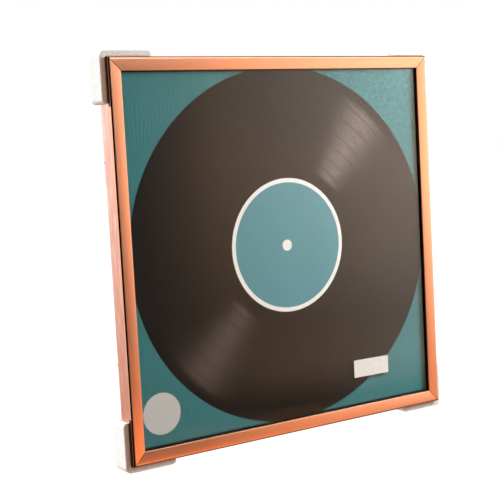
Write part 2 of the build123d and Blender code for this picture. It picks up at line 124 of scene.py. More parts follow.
class Graph:
    """Adds nodes to one node tree and joins them."""

    def __init__(self, tree: bpy.types.NodeTree) -> None:
        """Take over the tree of a material, world or node group, and empty it."""
        self.tree = tree
        tree.nodes.clear()

    def add(self, kind: str, inputs: Optional[dict] = None, **settings: object) -> bpy.types.Node:
        """Add a node.

        Args:
            kind: The node's type name.
            inputs: What its inputs are fed with, by name or number.
            **settings: Its properties.

        Returns:
            The new node.
        """
        node = self.tree.nodes.new(kind)
        for name, value in settings.items():
            setattr(node, name, value)
        for name, value in (inputs or {}).items():
            self.feed(node.inputs[name], value)
        return node

    def feed(self, socket: Socket, value: Value) -> None:
        """Join an output to a socket, or set the socket's own value.

        Args:
            socket: The input to fill.
            value: An output socket, or a plain value.
        """
        if isinstance(value, bpy.types.NodeSocket):
            self.tree.links.new(value, socket)
        elif socket.type == "RGBA" and len(value) == 3:
            socket.default_value = (*value, 1.0)
        else:
            socket.default_value = value

    def math(self, operation: str, *values: Value) -> Socket:
        """Do one sum on numbers, by the Math node's name for it."""
        return self.add("ShaderNodeMath", dict(enumerate(values)), operation=operation).outputs[0]

    def times(self, *values: Value) -> Socket:
        """Multiply numbers, one after the other."""
        return reduce(partial(self.math, "MULTIPLY"), values)

    def line(self, value: Value, slope: Value, start: Value) -> Socket:
        """Give value times slope plus start."""
        return self.math("MULTIPLY_ADD", value, slope, start)

    def vector(self, operation: str, first: Value, second: Value) -> Socket:
        """Do one sum on two vectors, by the Vector Math node's name for it."""
        return self.add("ShaderNodeVectorMath", {0: first, 1: second}, operation=operation).outputs[0]

    def scaled(self, vector: Value, amount: Value) -> Socket:
        """Scale a vector or a colour by a number."""
        return self.add("ShaderNodeVectorMath", {0: vector, "Scale": amount}, operation="SCALE").outputs[0]

    def length(self, vector: Value) -> Socket:
        """Give a vector's length."""
        return self.add("ShaderNodeVectorMath", {0: vector}, operation="LENGTH").outputs["Value"]

    def blend(self, share: Value, low: Value, high: Value) -> Socket:
        """Blend two colours.

        Args:
            share: How much of the second colour.
            low: The first colour.
            high: The second colour.

        Returns:
            The blended colour's socket.
        """
        node = self.add("ShaderNodeMix", data_type="RGBA", clamp_factor=True)
        sockets = {socket.identifier: socket for socket in (*node.inputs, *node.outputs)}
        for name, value in (("Factor_Float", share), ("A_Color", low), ("B_Color", high)):
            self.feed(sockets[name], value)
        return sockets["Result_Color"]

    def ease(self, value: Value, low: Value, high: Value, to: tuple[Value, Value] = (0.0, 1.0)) -> Socket:
        """Map the range from low to high smoothly on another, and hold it at both ends."""
        inputs = dict(zip(("Value", "From Min", "From Max", "To Min", "To Max"), (value, low, high, *to)))
        return self.add("ShaderNodeMapRange", inputs, interpolation_type="SMOOTHSTEP").outputs["Result"]

    def noise(self, vector: Value, scale: Value, detail: float = 2.0, roughness: float = 0.5) -> Socket:
        """Add a noise of about 0.5 in the mean; the scale is how many features a unit holds."""
        inputs = {"Vector": vector, "Scale": scale, "Detail": detail, "Roughness": roughness}
        return self.add("ShaderNodeTexNoise", inputs).outputs[0]

    def cells(self, vector: Value, scale: Value, feature: str = "DISTANCE_TO_EDGE") -> Socket:
        """Add a pattern of cells and give the distance that the feature names."""
        inputs = {"Vector": vector, "Scale": scale}
        return self.add("ShaderNodeTexVoronoi", inputs, feature=feature).outputs["Distance"]

    def ramp(self, value: Value, stops: Sequence[tuple[float, float]], ease: str = "LINEAR") -> Socket:
        """Turn a number into a grey by stops.

        Args:
            value: The number, from 0 to 1.
            stops: Places and their greys, in order.
            ease: The interpolation between them.

        Returns:
            The grey's socket.
        """
        node = self.add("ShaderNodeValToRGB")
        node.color_ramp.interpolation = ease
        elements = node.color_ramp.elements
        while len(elements) < len(stops):
            elements.new(0.5)
        for element, (place, grey) in zip(elements, stops):
            element.position = place
            element.color = (grey, grey, grey, 1.0)
        self.feed(node.inputs[0], value)
        return node.outputs["Color"]

    def bump(
        self, height: Value, depth: float, strength: float = 1.0, normal: Optional[Socket] = None
    ) -> Socket:
        """Turn a height into a normal.

        Args:
            height: The height, from 0 to 1.
            depth: The real depth of that height in millimetres.
            strength: How much of the bump is used.
            normal: A normal to add it to.

        Returns:
            The normal's socket.
        """
        inputs = {"Distance": depth * MM, "Strength": strength, "Height": height}
        if normal is not None:
            inputs["Normal"] = normal
        return self.add("ShaderNodeBump", inputs).outputs["Normal"]

    def place(self, group: bpy.types.NodeTree, **values: Value) -> tuple[Socket, ...]:
        """Place a shader node group, feed its inputs by name and give its outputs."""
        return tuple(self.add("ShaderNodeGroup", values, node_tree=group).outputs)

    def step(self, kind: str, geometry: Socket, **values: Value) -> Socket:
        """Add a step that changes a geometry, with its other inputs by name."""
        return self.add(kind, {"Geometry": geometry, **values}).outputs["Geometry"]

    def object_place(self) -> Socket:
        """Give the place on the piece in the model's own frame."""
        return self.add("ShaderNodeTexCoord").outputs["Object"]

    def parts(self, vector: Value) -> tuple[Socket, Socket, Socket]:
        """Split a vector into its X, Y and Z."""
        return tuple(self.add("ShaderNodeSeparateXYZ", {0: vector}).outputs)

    def show(self, shader: bpy.types.Node, output: str = "ShaderNodeOutputMaterial") -> None:
        """Join a shader to the tree's output."""
        self.add(output, {"Surface": shader.outputs[0]})


def new_group(
    name: str, tree_type: str, inputs: dict[str, tuple[Kind, Value]], outputs: dict[str, Kind]
) -> tuple[Graph, dict[str, Socket], dict[str, Socket]]:
    """Make an empty node group with its sockets.

    Args:
        name: The group's name.
        tree_type: Whether it is for shaders or for geometry.
        inputs: Each input's kind and first value, by name.
        outputs: Each output's kind, by name.

    Returns:
        The group's graph, its inputs inside and its outputs inside.
    """
    tree = bpy.data.node_groups.new(name, tree_type)
    for label, (kind, value) in inputs.items():
        socket = tree.interface.new_socket(label, in_out="INPUT", socket_type=kind.value)
        if value is not None:
            socket.default_value = value
    for label, kind in outputs.items():
        tree.interface.new_socket(label, in_out="OUTPUT", socket_type=kind.value)
    graph = Graph(tree)
    entry = graph.add("NodeGroupInput")
    leave = graph.add("NodeGroupOutput")
    return graph, dict(entry.outputs.items()), dict(leave.inputs.items())


class GroupLibrary:
    """The shader node groups that several materials use, each built once."""

    def __init__(self) -> None:
        """Build every group."""
        self.streaks = self._streaks()
        self.specks = self._specks()
        self.ring = self._ring()
        self.mottle = self._mottle()

    def _streaks(self) -> bpy.types.NodeTree:
        """Build fine parallel lines, as brushing or rolling leaves them.

        Returns:
            A group that turns a place into Lines from 0 to 1.
        """
        inputs = {
            "Place": (Kind.VECTOR, None),
            "Squeeze": (Kind.VECTOR, (1.0, 1.0, 1.0)),
            "Scale": (Kind.NUMBER, 1000.0),
        }
        graph, given, result = new_group("parallel_lines", "ShaderNodeTree", inputs, {"Lines": Kind.NUMBER})
        squeezed = graph.vector("MULTIPLY", given["Place"], given["Squeeze"])
        graph.feed(result["Lines"], graph.ease(graph.noise(squeezed, given["Scale"], 3.0, 0.6), 0.3, 0.7))
        return graph.tree

    def _specks(self) -> bpy.types.NodeTree:
        """Build scattered specks of dust or pigment.

        Returns:
            A group that turns a place into a Mask of specks.
        """
        inputs = {
            "Place": (Kind.VECTOR, None),
            "Scale": (Kind.NUMBER, 300.0),
            "Size": (Kind.NUMBER, 0.12),
            "Share": (Kind.NUMBER, 0.2),
        }
        graph, given, result = new_group("scattered_specks", "ShaderNodeTree", inputs, {"Mask": Kind.NUMBER})
        core, patch_fineness, patch_edge = 0.4, 0.23, 0.08
        distance = graph.cells(given["Place"], given["Scale"], "F1")
        dot = graph.ease(distance, given["Size"], graph.times(given["Size"], core))
        patch = graph.noise(given["Place"], graph.times(given["Scale"], patch_fineness))
        low = graph.line(given["Share"], -0.5, 0.75)
        chosen = graph.ease(patch, low, graph.math("ADD", low, patch_edge))
        graph.feed(result["Mask"], graph.times(dot, chosen))
        return graph.tree

    def _ring(self) -> bpy.types.NodeTree:
        """Build a flat ring or disc with soft edges.

        Returns:
            A group that turns a radius into a Mask between Inner and Outer.
        """
        inputs = {
            "Radius": (Kind.NUMBER, 0.0),
            "Inner": (Kind.NUMBER, -1.0),
            "Outer": (Kind.NUMBER, 1.0),
            "Edge": (Kind.NUMBER, 0.3),
        }
        graph, given, result = new_group("flat_ring", "ShaderNodeTree", inputs, {"Mask": Kind.NUMBER})
        half = graph.times(given["Edge"], 0.5)
        masks = []
        for name, to in (("Inner", (0.0, 1.0)), ("Outer", (1.0, 0.0))):
            low = graph.math("SUBTRACT", given[name], half)
            high = graph.math("ADD", given[name], half)
            masks.append(graph.ease(given["Radius"], low, high, to))
        graph.feed(result["Mask"], graph.times(*masks))
        return graph.tree

    def _mottle(self) -> bpy.types.NodeTree:
        """Build a soft mottle of two scales, for ink, board and plated metal.

        Returns:
            A group that turns a place into Tone and Grain, both about 0.5 in the mean.
        """
        inputs = {"Place": (Kind.VECTOR, None), "Scale": (Kind.NUMBER, 40.0)}
        outputs = {"Tone": Kind.NUMBER, "Grain": Kind.NUMBER}
        graph, given, result = new_group("soft_mottle", "ShaderNodeTree", inputs, outputs)
        grain_fineness = 28.0
        graph.feed(result["Tone"], graph.noise(given["Place"], given["Scale"], 3.0, 0.55))
        grain_scale = graph.times(given["Scale"], grain_fineness)
        graph.feed(result["Grain"], graph.noise(given["Place"], grain_scale, 2.0, 0.6))
        return graph.tree


class Canvas(Graph):
    """The graph of a material in the making, with its Principled shader and the shared groups."""

    def __init__(self, tree: bpy.types.NodeTree, groups: GroupLibrary) -> None:
        """Empty the material's tree and add its shader.

        Args:
            tree: The material's tree.
            groups: The shared node groups.
        """
        super().__init__(tree)
        self.groups = groups
        self.surface = self.add("ShaderNodeBsdfPrincipled")
        self.show(self.surface)

    def paint(self, name: str, value: Value) -> None:
        """Feed the shader's input of that name."""
        self.feed(self.surface.inputs[name], value)

    def specks(self, where: Socket, scale: float, size: float, share: float) -> Socket:
        """Scatter specks: cells to a metre, how much of its cell one fills, and the share that holds one."""
        return self.place(self.groups.specks, Place=where, Scale=scale, Size=size, Share=share)[0]


@dataclass(frozen=True)
class Finish:
    """A surface finish: the values that are the same all over it."""

    name: str
    roughness: float = 0.5
    metallic: float = 0.0
    ior: float = 1.5

    def build(self, groups: GroupLibrary) -> bpy.types.Material:
        """Make the material.

        Args:
            groups: The shared node groups.

        Returns:
            The material.
        """
        material = bpy.data.materials.new(self.name)
        material.use_nodes = True
        canvas = Canvas(material.node_tree, groups)
        canvas.surface.inputs["Roughness"].default_value = self.roughness
        canvas.surface.inputs["Metallic"].default_value = self.metallic
        canvas.surface.inputs["IOR"].default_value = self.ior
        self.dress(canvas)
        return material

    def dress(self, canvas: Canvas) -> None:
        """Add what varies over the surface."""


@dataclass(frozen=True)
class CopperFinish(Finish):
    """Copper-coloured satin metal with fine brushed lines along the rail.

    Sizes in millimetres. Depth counts from the front, inset from the frame's outer edge, and along
    from the rail's middle. The tucked part is the strip of a rail's side in front of a guard. Shade is
    painted into the colour along the rolled outer edge, darker on some sides than on others, on the
    tucked part and on the lip's inner wall.
    """

    run: Run = Run.ACROSS
    light: Colour = (0.96, 0.46, 0.29)
    deep: Colour = (0.91, 0.42, 0.255)
    speck: Colour = (0.42, 0.15, 0.08)
    nick: Colour = (0.96, 0.80, 0.70)
    line_scale: float = 2600.0
    line_squeeze: float = 0.02
    crease_scale: float = 420.0
    crease_squeeze: float = 0.09
    tone_scale: float = 60.0
    share_start: float = -0.15
    share_weights: tuple[float, ...] = (0.3, 0.6, 0.4)
    speck_grain: tuple[float, ...] = (420.0, 0.16, 0.25)
    nick_grain: tuple[float, ...] = (190.0, 0.13, 0.12)
    scuff_creases: Range = (0.45, 0.95)
    mark_weights: tuple[float, ...] = (0.5, 0.7, 0.45)
    gloss_change: float = 0.08
    line_relief: float = 0.0008
    crease_relief: float = 0.003
    tone_relief: float = 0.02
    rolled_inset: Range = (OUTER_RADIUS, OUTER_RADIUS * 0.5)
    rolled_depth: Range = (OUTER_RADIUS * 0.65, OUTER_RADIUS * 0.4)
    rolled_roughness: float = 0.22
    painted_edge_shades: tuple[float, ...] = (0.15, 0.55, 0.98, 0.75)
    tucked_front: Range = (0.3, 0.6)
    tucked_back: Range = (4.6, 4.0)
    tucked_inset: Range = (1.2, 0.8)
    tucked_along: Range = (124.6, 125.4)
    guard_shade_share: float = 0.9
    joint_width: Range = (0.5, 0.15)
    joint_depth: Range = (OUTER_RADIUS, OUTER_RADIUS * 0.5)
    joint_share: float = 0.8
    lip_inset: Range = (FACE_WIDTH - 0.5, FACE_WIDTH - 0.1)
    lip_depth: Range = (1.15, 1.65)
    lip_shadow_share: float = 0.9
    side_depth: Range = (2.0, 3.0)
    side_inset: Range = (1.0, 0.5)

    def masks(self, graph: Graph, where: Socket) -> tuple[Socket, Socket, Socket]:
        """Find the rolled outer edge, the mitre joints, the lip's inner wall and the outer side.

        Args:
            graph: The material's graph.
            where: The place on the rail in metres.

        Returns:
            The mask of the rolled edge and the tucked part, the painted shade together with the dark joints,
            and the mask of the outer side.
        """
        placed = graph.vector("SUBTRACT", graph.scaled(where, 1 / MM), (0.0, FRONT_Y, MIDDLE_Z))
        x, depth, z = graph.parts(placed)
        across, up = graph.math("ABSOLUTE", x), graph.math("ABSOLUTE", z)
        inset = graph.math("SUBTRACT", HALF_FRAME, graph.math("MAXIMUM", across, up))
        rolled = graph.times(graph.ease(inset, *self.rolled_inset), graph.ease(depth, *self.rolled_depth))
        # painted shade on the strip of the side in front of a guard, which also takes the rolled edge's gloss
        tucked = graph.times(
            graph.ease(depth, *self.tucked_front),
            graph.ease(depth, *self.tucked_back),
            graph.ease(inset, *self.tucked_inset),
            graph.ease(graph.math("MINIMUM", across, up), *self.tucked_along),
            self.guard_shade_share,
        )
        rolled = graph.math("MAXIMUM", rolled, tucked)
        # painted shade along the rolled edge and the tucked part, by side: darkest on the left, then the
        # bottom, the top and the right
        turn = graph.line(graph.math("ARCTAN2", z, x), 0.5 / math.pi, 0.125)
        stops = [(index / 4, shade) for index, shade in enumerate(self.painted_edge_shades)]
        dark = graph.times(rolled, graph.ramp(graph.math("WRAP", turn, 1.0, 0.0), stops, "CONSTANT"))
        off_joint = graph.math("ABSOLUTE", graph.math("SUBTRACT", across, up))
        joint = graph.times(graph.ease(off_joint, *self.joint_width), graph.ease(depth, *self.joint_depth))
        # painted shadow on the lip's inner wall
        wall = graph.times(graph.ease(inset, *self.lip_inset), graph.ease(depth, *self.lip_depth))
        for mask, share in ((joint, self.joint_share), (wall, self.lip_shadow_share)):
            dark = graph.math("MAXIMUM", dark, graph.times(mask, share))
        side = graph.times(graph.ease(depth, *self.side_depth), graph.ease(inset, *self.side_inset))
        return rolled, dark, side

    def along(self, canvas: Canvas, where: Socket, squeeze: float, scale: float) -> Socket:
        """Draw lines along the rail.

        Args:
            canvas: The material in the making.
            where: The place on the rail.
            squeeze: How much the pattern is squeezed along the rail.
            scale: How many lines a metre holds.

        Returns:
            The lines, from 0 to 1.
        """
        squeezes = [1.0, 1.0, 1.0]
        squeezes[self.run.value] = squeeze
        return canvas.place(canvas.groups.streaks, Place=where, Squeeze=tuple(squeezes), Scale=scale)[0]

    def dress(self, canvas: Canvas) -> None:
        """Add the brushed lines, the creases, the specks, the dark joints, and the painted shade of the
        rolled edge, the tucked part and the lip's inner wall.

        Args:
            canvas: The material in the making.
        """
        where = canvas.object_place()
        lines = self.along(canvas, where, self.line_squeeze, self.line_scale)
        creases = self.along(canvas, where, self.crease_squeeze, self.crease_scale)
        tone, _ = canvas.place(canvas.groups.mottle, Place=where, Scale=self.tone_scale)
        rolled, dark, side = self.masks(canvas, where)
        share: Value = self.share_start
        for pattern, weight in zip((creases, tone, lines), self.share_weights):
            share = canvas.line(pattern, weight, share)
        colour = canvas.blend(share, self.deep, self.light)
        marks = (
            (canvas.specks(where, *self.speck_grain), self.speck),
            (canvas.specks(where, *self.nick_grain), self.nick),
            (canvas.times(canvas.ease(creases, *self.scuff_creases), side), self.nick),
        )
        for (mask, mark), weight in zip(marks, self.mark_weights):
            colour = canvas.blend(canvas.times(mask, weight), colour, mark)
        # the painted shade and the dark joints darken the colour
        canvas.paint("Base Color", canvas.scaled(colour, canvas.math("SUBTRACT", 1.0, dark)))
        rough = canvas.line(lines, self.gloss_change, self.roughness - self.gloss_change / 2)
        canvas.paint("Roughness", canvas.line(rolled, self.rolled_roughness - self.roughness, rough))
        fine = canvas.bump(lines, self.line_relief, 0.7)
        wavy = canvas.bump(creases, self.crease_relief, 0.5, fine)
        canvas.paint("Normal", canvas.bump(tone, self.tone_relief, 0.5, wavy))


@dataclass(frozen=True)
class PlatedFinish(Finish):
    """Plated or cast metal with a soft mottle and fine specks. Relief in millimetres."""

    light: Colour = (0.72, 0.72, 0.73)
    deep: Colour = (0.55, 0.55, 0.57)
    scale: float = 220.0
    relief: float = 0.01
    dust_grain: tuple[float, ...] = (900.0, 0.2, 0.35)
    dust_weight: float = 0.3
    gloss_change: float = -0.1

    def dress(self, canvas: Canvas) -> None:
        """Add the mottle, its relief and the change of gloss.

        Args:
            canvas: The material in the making.
        """
        where = canvas.object_place()
        tone, grain = canvas.place(canvas.groups.mottle, Place=where, Scale=self.scale)
        share = canvas.ease(tone, 0.3, 0.7)
        dust = canvas.times(canvas.specks(where, *self.dust_grain), self.dust_weight)
        colour = canvas.blend(share, self.deep, self.light)
        canvas.paint("Base Color", canvas.blend(dust, colour, self.deep))
        rough = canvas.line(share, self.gloss_change, self.roughness - self.gloss_change / 2)
        canvas.paint("Roughness", rough)
        canvas.paint("Normal", canvas.bump(grain, self.relief, 0.6))


@dataclass(frozen=True)
class ClearFinish(Finish):
    """Clear sheet or film: it mirrors and bends light, and lets lamps straight through.

    The dimples' depth is in millimetres.
    """

    tint: Colour = (0.985, 0.992, 0.99)
    paler: float = 1.01
    dimple_scale: float = 0.0
    dimple_depth: float = 0.0
    speck_grain: tuple[float, ...] = (260.0, 0.2, 0.3)

    def dress(self, canvas: Canvas) -> None:
        """Add the transmission, the way through for lamps and the dimples.

        Args:
            canvas: The material in the making.
        """
        canvas.surface.inputs["Transmission Weight"].default_value = 1.0
        where = canvas.object_place()
        tone, _ = canvas.place(canvas.groups.mottle, Place=where, Scale=30.0)
        pale = tuple(min(1.0, part * self.paler) for part in self.tint)
        canvas.paint("Base Color", canvas.blend(tone, self.tint, pale))
        path = canvas.add("ShaderNodeLightPath").outputs
        unseen = canvas.math("MAXIMUM", path["Is Shadow Ray"], path["Is Diffuse Ray"])
        canvas.paint("Alpha", canvas.math("SUBTRACT", 1.0, unseen))
        if self.dimple_depth:
            dimples = canvas.noise(where, self.dimple_scale, 1.0, 0.4)
            specks = canvas.specks(where, *self.speck_grain)
            canvas.paint("Normal", canvas.bump(canvas.line(specks, 0.4, dimples), self.dimple_depth))
            canvas.paint("Roughness", canvas.line(specks, 0.05, self.roughness))


@dataclass(frozen=True)
class PrintFinish(Finish):
    """The printed insert: a teal ground, a picture of a record, and a plain badge.

    Sizes in millimetres from the print's middle. A sheen is a sector in which the record's grooves
    throw light back: its middle and spread in degrees, and its strength. The shades of a gap stand
    at steps from its middle, in a table that ends at the radius gap_reach. A disc without a hole has
    the inner radius no_hole. Light and shade are painted on the print as well: the ripple of shade
    and the glints that the dimpled film throws, and the shadow of the rails' lips along the window.
    """

    disc_middle: Spot = (0.8, 0.9)
    label_middle: Spot = (1.6, 0.9)
    hole_middle: Spot = (0.0, 0.9)
    badge_middle: Spot = (-133.0, -125.6)
    disc_radius: float = 154.6
    label_radius: float = 58.4
    ring_width: float = 3.7
    hole_radius: float = 4.9
    badge_radius: float = 17.4
    no_hole: float = -9.0
    disc_edge: float = 0.7
    print_edge: float = 0.5
    groove_start: Range = (66.0, 73.0)
    groove_end: Range = (141.0, 149.0)
    lead_in: Range = (150.2, 153.0)
    lead_in_edge: float = 1.6
    lead_in_share: float = 0.6
    track_gaps: tuple[float, ...] = (76.5, 86.6, 98.9, 109.5, 125.6, 138.6)
    gap_shades: Stops = ((-1.0, 1.0), (0.0, 0.25), (1.0, 1.0))
    gap_reach: float = 200.0
    sheens: tuple[tuple[float, float, float], ...] = ((50.0, 9.5, 1.1), (227.0, 9.0, 0.5))
    ground: Colour = (0.05, 0.215, 0.235)
    ink: Colour = (0.012, 0.010, 0.009)
    lead_in_ink: Colour = (0.01, 0.008, 0.008)
    sheen_ink: Colour = (0.185, 0.15, 0.143)
    label: Colour = (0.105, 0.315, 0.38)
    white: Colour = (0.91, 0.94, 0.94)
    badge: Colour = (0.63, 0.66, 0.67)
    shadow_middle: Spot = (1.1, 0.2)
    shadow_reach: Range = (151.1, 152.1)
    shadow_shade: float = 0.05
    ripple_step: float = 3.6
    ripple_depth: float = 0.11
    ripple_sway: float = 12.0
    sway_scale: float = 45.0
    ripple_fade: Range = (60.0, -60.0)
    glint_scale: float = 630.0
    glint_depth: float = 0.72
    glint_least: float = 0.05
    glint_rise: Range = (0.0, 230.0)
    ink_scale: float = 25.0
    ink_tone: tuple[float, ...] = (0.16, 0.92)
    ink_grain: tuple[float, ...] = (0.2, 0.9)

    def polar(self, graph: Graph, plane: Socket, middle: Spot) -> tuple[Socket, Socket]:
        """Measure from a middle on the print.

        Args:
            graph: The material's graph.
            plane: The place on the print in millimetres from its middle.
            middle: The X and Z to measure from.

        Returns:
            The distance in millimetres and the angle in degrees, anticlockwise from +X.
        """
        shifted = graph.vector("SUBTRACT", plane, (middle[0], 0.0, middle[1]))
        x, _, z = graph.parts(shifted)
        angle = graph.math("DEGREES", graph.math("ARCTAN2", z, x))
        return graph.length(shifted), angle

    def sheen(self, graph: Graph, radius: Socket, angle: Socket) -> Socket:
        """Draw the light that the record's grooves throw back in two sectors.

        Args:
            graph: The material's graph.
            radius: The distance from the record's middle.
            angle: The angle there in degrees.

        Returns:
            A mask from 0 to 1.
        """
        total: Value = 0.0
        for middle, spread, strength in self.sheens:
            off = graph.math("WRAP", graph.math("SUBTRACT", angle, middle), 180.0, -180.0)
            share = graph.math("DIVIDE", graph.math("ABSOLUTE", off), spread)
            bell = graph.math("EXPONENT", graph.times(graph.math("POWER", share, 2.0), -1.0))
            total = graph.line(bell, strength, total)
        inputs = {"Scale": 1.1, "Detail": 4.0, "W": radius}
        grooves = graph.add("ShaderNodeTexNoise", inputs, noise_dimensions="1D").outputs[0]
        stops = [(0.0, 1.0)]
        for gap in self.track_gaps:
            stops += [((gap + step) / self.gap_reach, shade) for step, shade in self.gap_shades]
        start = graph.ease(radius, *self.groove_start)
        end = graph.ease(radius, *self.groove_end, (1.0, 0.0))
        return graph.times(
            total,
            graph.ease(grooves, 0.25, 0.7, (0.62, 1.0)),
            graph.ramp(graph.math("DIVIDE", radius, self.gap_reach), stops),
            graph.times(start, end),
        )

    def painted_film_light(self, graph: Graph, where: Socket, plane: Socket) -> tuple[Socket, Socket]:
        """Paint the shading and the glints that the dimpled film in front throws on the print.

        Args:
            graph: The material's graph.
            where: The place on the print in metres.
            plane: The same in millimetres from the print's middle.

        Returns:
            The painted ripple of shade at the left and the painted glints at the upper right, both about 1.
        """
        x, _, z = graph.parts(plane)
        # painted ripple of shade from the film's dimples, full at the left and gone right of the middle
        sway = graph.noise(graph.vector("MULTIPLY", where, (1.0, 1.0, 0.5)), self.sway_scale, 1.0)
        phase = graph.line(x, 2 * math.pi / self.ripple_step, graph.times(sway, self.ripple_sway))
        ripple = graph.times(graph.math("SINE", phase), graph.ease(x, *self.ripple_fade))
        # painted glints of the dimpled film, growing towards the upper right, where the light comes from
        painted_glints = graph.ease(graph.noise(where, self.glint_scale, 1.0), 0.36, 0.64, (-0.5, 0.5))
        rise = graph.ease(graph.math("ADD", x, z), *self.glint_rise)
        amount = graph.line(rise, self.glint_depth, self.glint_least)
        return graph.line(ripple, self.ripple_depth, 1.0), graph.line(painted_glints, amount, 1.0)

    def dress(self, canvas: Canvas) -> None:
        """Draw the print.

        Args:
            canvas: The material in the making.
        """
        ring = canvas.groups.ring
        where = canvas.object_place()
        centred = canvas.vector("SUBTRACT", canvas.scaled(where, 1 / MM), (0.0, 0.0, MIDDLE_Z))
        plane = canvas.vector("MULTIPLY", centred, (1.0, 0.0, 1.0))
        tone, grain = canvas.place(canvas.groups.mottle, Place=where, Scale=self.ink_scale)
        # painted shading and glints of the film over the print
        ripple, painted_glints = self.painted_film_light(canvas, where, plane)

        radius, angle = self.polar(canvas, plane, self.disc_middle)
        record = canvas.blend(self.sheen(canvas, radius, angle), self.ink, self.sheen_ink)
        inner, outer = self.lead_in
        band = canvas.place(ring, Radius=radius, Inner=inner, Outer=outer, Edge=self.lead_in_edge)[0]
        record = canvas.blend(canvas.times(band, self.lead_in_share), record, self.lead_in_ink)
        ground = canvas.scaled(self.ground, ripple)
        disc = canvas.place(
            ring, Radius=radius, Inner=self.no_hole, Outer=self.disc_radius, Edge=self.disc_edge
        )[0]
        colour = canvas.blend(disc, ground, record)
        for middle, reach, paint in (
            (self.label_middle, self.label_radius, self.white),
            (self.label_middle, self.label_radius - self.ring_width, self.label),
            (self.hole_middle, self.hole_radius, self.white),
            (self.badge_middle, self.badge_radius, self.badge),
        ):
            radius, _ = self.polar(canvas, plane, middle)
            spot = canvas.place(ring, Radius=radius, Inner=self.no_hole, Outer=reach, Edge=self.print_edge)[0]
            colour = canvas.blend(spot, colour, paint)

        # painted shadow of the rails' lips along the window's edges
        middle_x, middle_z = self.shadow_middle
        x, _, z = canvas.parts(canvas.vector("SUBTRACT", plane, (middle_x, 0.0, middle_z)))
        reach = canvas.math("MAXIMUM", canvas.math("ABSOLUTE", x), canvas.math("ABSOLUTE", z))
        shadow = canvas.ease(reach, *self.shadow_reach, (1.0, self.shadow_shade))
        shade = canvas.times(canvas.line(tone, *self.ink_tone), canvas.line(grain, *self.ink_grain))
        tint = canvas.times(shade, painted_glints, shadow)
        canvas.paint("Base Color", canvas.scaled(colour, tint))
        canvas.paint("Normal", canvas.bump(grain, 0.01, 0.3))


@dataclass(frozen=True)
class FibreFinish(Finish):
    """Pressed fibre or paper: a mottled ground with short pale fibres. Relief in millimetres."""

    light: Colour = (0.40, 0.26, 0.15)
    deep: Colour = (0.27, 0.165, 0.09)
    fibre: Colour = (0.52, 0.37, 0.23)
    scale: float = 160.0
    relief: float = 0.03
    ways: tuple[tuple[Colour, float], ...] = (((0.12, 1.0, 1.0), 9), ((1.0, 1.0, 0.15), 7))

    def dress(self, canvas: Canvas) -> None:
        """Add the mottle, the fibres in two ways and their relief.

        Args:
            canvas: The material in the making.
        """
        where = canvas.object_place()
        tone, grain = canvas.place(canvas.groups.mottle, Place=where, Scale=self.scale)
        fibres = canvas.times(
            *(
                canvas.place(canvas.groups.streaks, Place=where, Squeeze=squeeze, Scale=self.scale * finer)[0]
                for squeeze, finer in self.ways
            )
        )
        specks = canvas.specks(where, self.scale * 2, 0.16, 0.3)
        colour = canvas.blend(canvas.ease(tone, 0.3, 0.7), self.deep, self.light)
        colour = canvas.blend(canvas.times(fibres, 0.55), colour, self.fibre)
        canvas.paint("Base Color", canvas.blend(canvas.times(specks, 0.5), colour, self.deep))
        canvas.paint("Roughness", canvas.line(fibres, 0.12, self.roughness - 0.06))
        canvas.paint("Normal", canvas.bump(canvas.line(fibres, 0.5, grain), self.relief, 0.6))


@dataclass(frozen=True)
class FoamFinish(Finish):
    """White beaded foam: pale beads with slightly greyer seams. Relief in millimetres."""

    light: Colour = (0.78, 0.79, 0.77)
    seam: Colour = (0.69, 0.695, 0.665)
    seam_width: float = 0.14
    mottle_scale: float = 260.0
    relief: float = 0.04

    def dress(self, canvas: Canvas) -> None:
        """Colour the beads and their seams.

        Args:
            canvas: The material in the making.
        """
        where = canvas.object_place()
        edge = canvas.cells(where, 1 / (FOAM_BEAD * MM))
        tone, grain = canvas.place(canvas.groups.mottle, Place=where, Scale=self.mottle_scale)
        colour = canvas.blend(canvas.ease(edge, 0.0, self.seam_width), self.seam, self.light)
        canvas.paint("Base Color", canvas.scaled(colour, canvas.line(tone, 0.14, 0.93)))
        canvas.paint("Normal", canvas.bump(grain, self.relief, 0.5))


@dataclass(frozen=True)
class Finishes:
    """Every finish of the frame. The numbers after a name are its roughness and how metallic it is."""

    copper_across: Finish = CopperFinish("copper_satin_across", 0.33, 1.0, run=Run.ACROSS)
    copper_upright: Finish = CopperFinish("copper_satin_upright", 0.33, 1.0, run=Run.UPRIGHT)
    zinc: Finish = PlatedFinish(
        "cast_zinc", 0.55, 1.0, light=(0.58, 0.59, 0.61), deep=(0.44, 0.45, 0.47), relief=0.03
    )
    screw: Finish = PlatedFinish("screw_zinc_plate", 0.3, 1.0)
    button: Finish = PlatedFinish(
        "button_zinc_strip", 0.36, 1.0, light=(0.66, 0.67, 0.68), deep=(0.52, 0.53, 0.55), scale=90.0
    )
    hanger: Finish = PlatedFinish(
        "hanger_bright_plate", 0.26, 1.0, light=(0.80, 0.74, 0.60), deep=(0.64, 0.57, 0.44), scale=150.0
    )
    film: Finish = ClearFinish("clear_film_dimpled", 0.12, ior=1.36, dimple_scale=420.0, dimple_depth=0.03)
    film_back: Finish = ClearFinish("clear_film_back", 0.1, ior=1.06)
    acrylic: Finish = ClearFinish("clear_acrylic", 0.05, ior=1.12)
    printed: Finish = PrintFinish("printed_insert_card", 0.8, ior=1.06)
    cardboard: Finish = FibreFinish(
        "brown_cardboard", 0.85, light=(0.47, 0.33, 0.20), deep=(0.36, 0.24, 0.14), fibre=(0.56, 0.42, 0.28)
    )
    hardboard: Finish = FibreFinish("pressed_hardboard", 0.62)
    paper: Finish = FibreFinish(
        "white_label_paper",
        0.55,
        light=(0.83, 0.84, 0.84),
        deep=(0.76, 0.76, 0.75),
        fibre=(0.86, 0.87, 0.87),
        scale=260.0,
        relief=0.006,
    )
    foam: Finish = FoamFinish("white_bead_foam", 0.9)


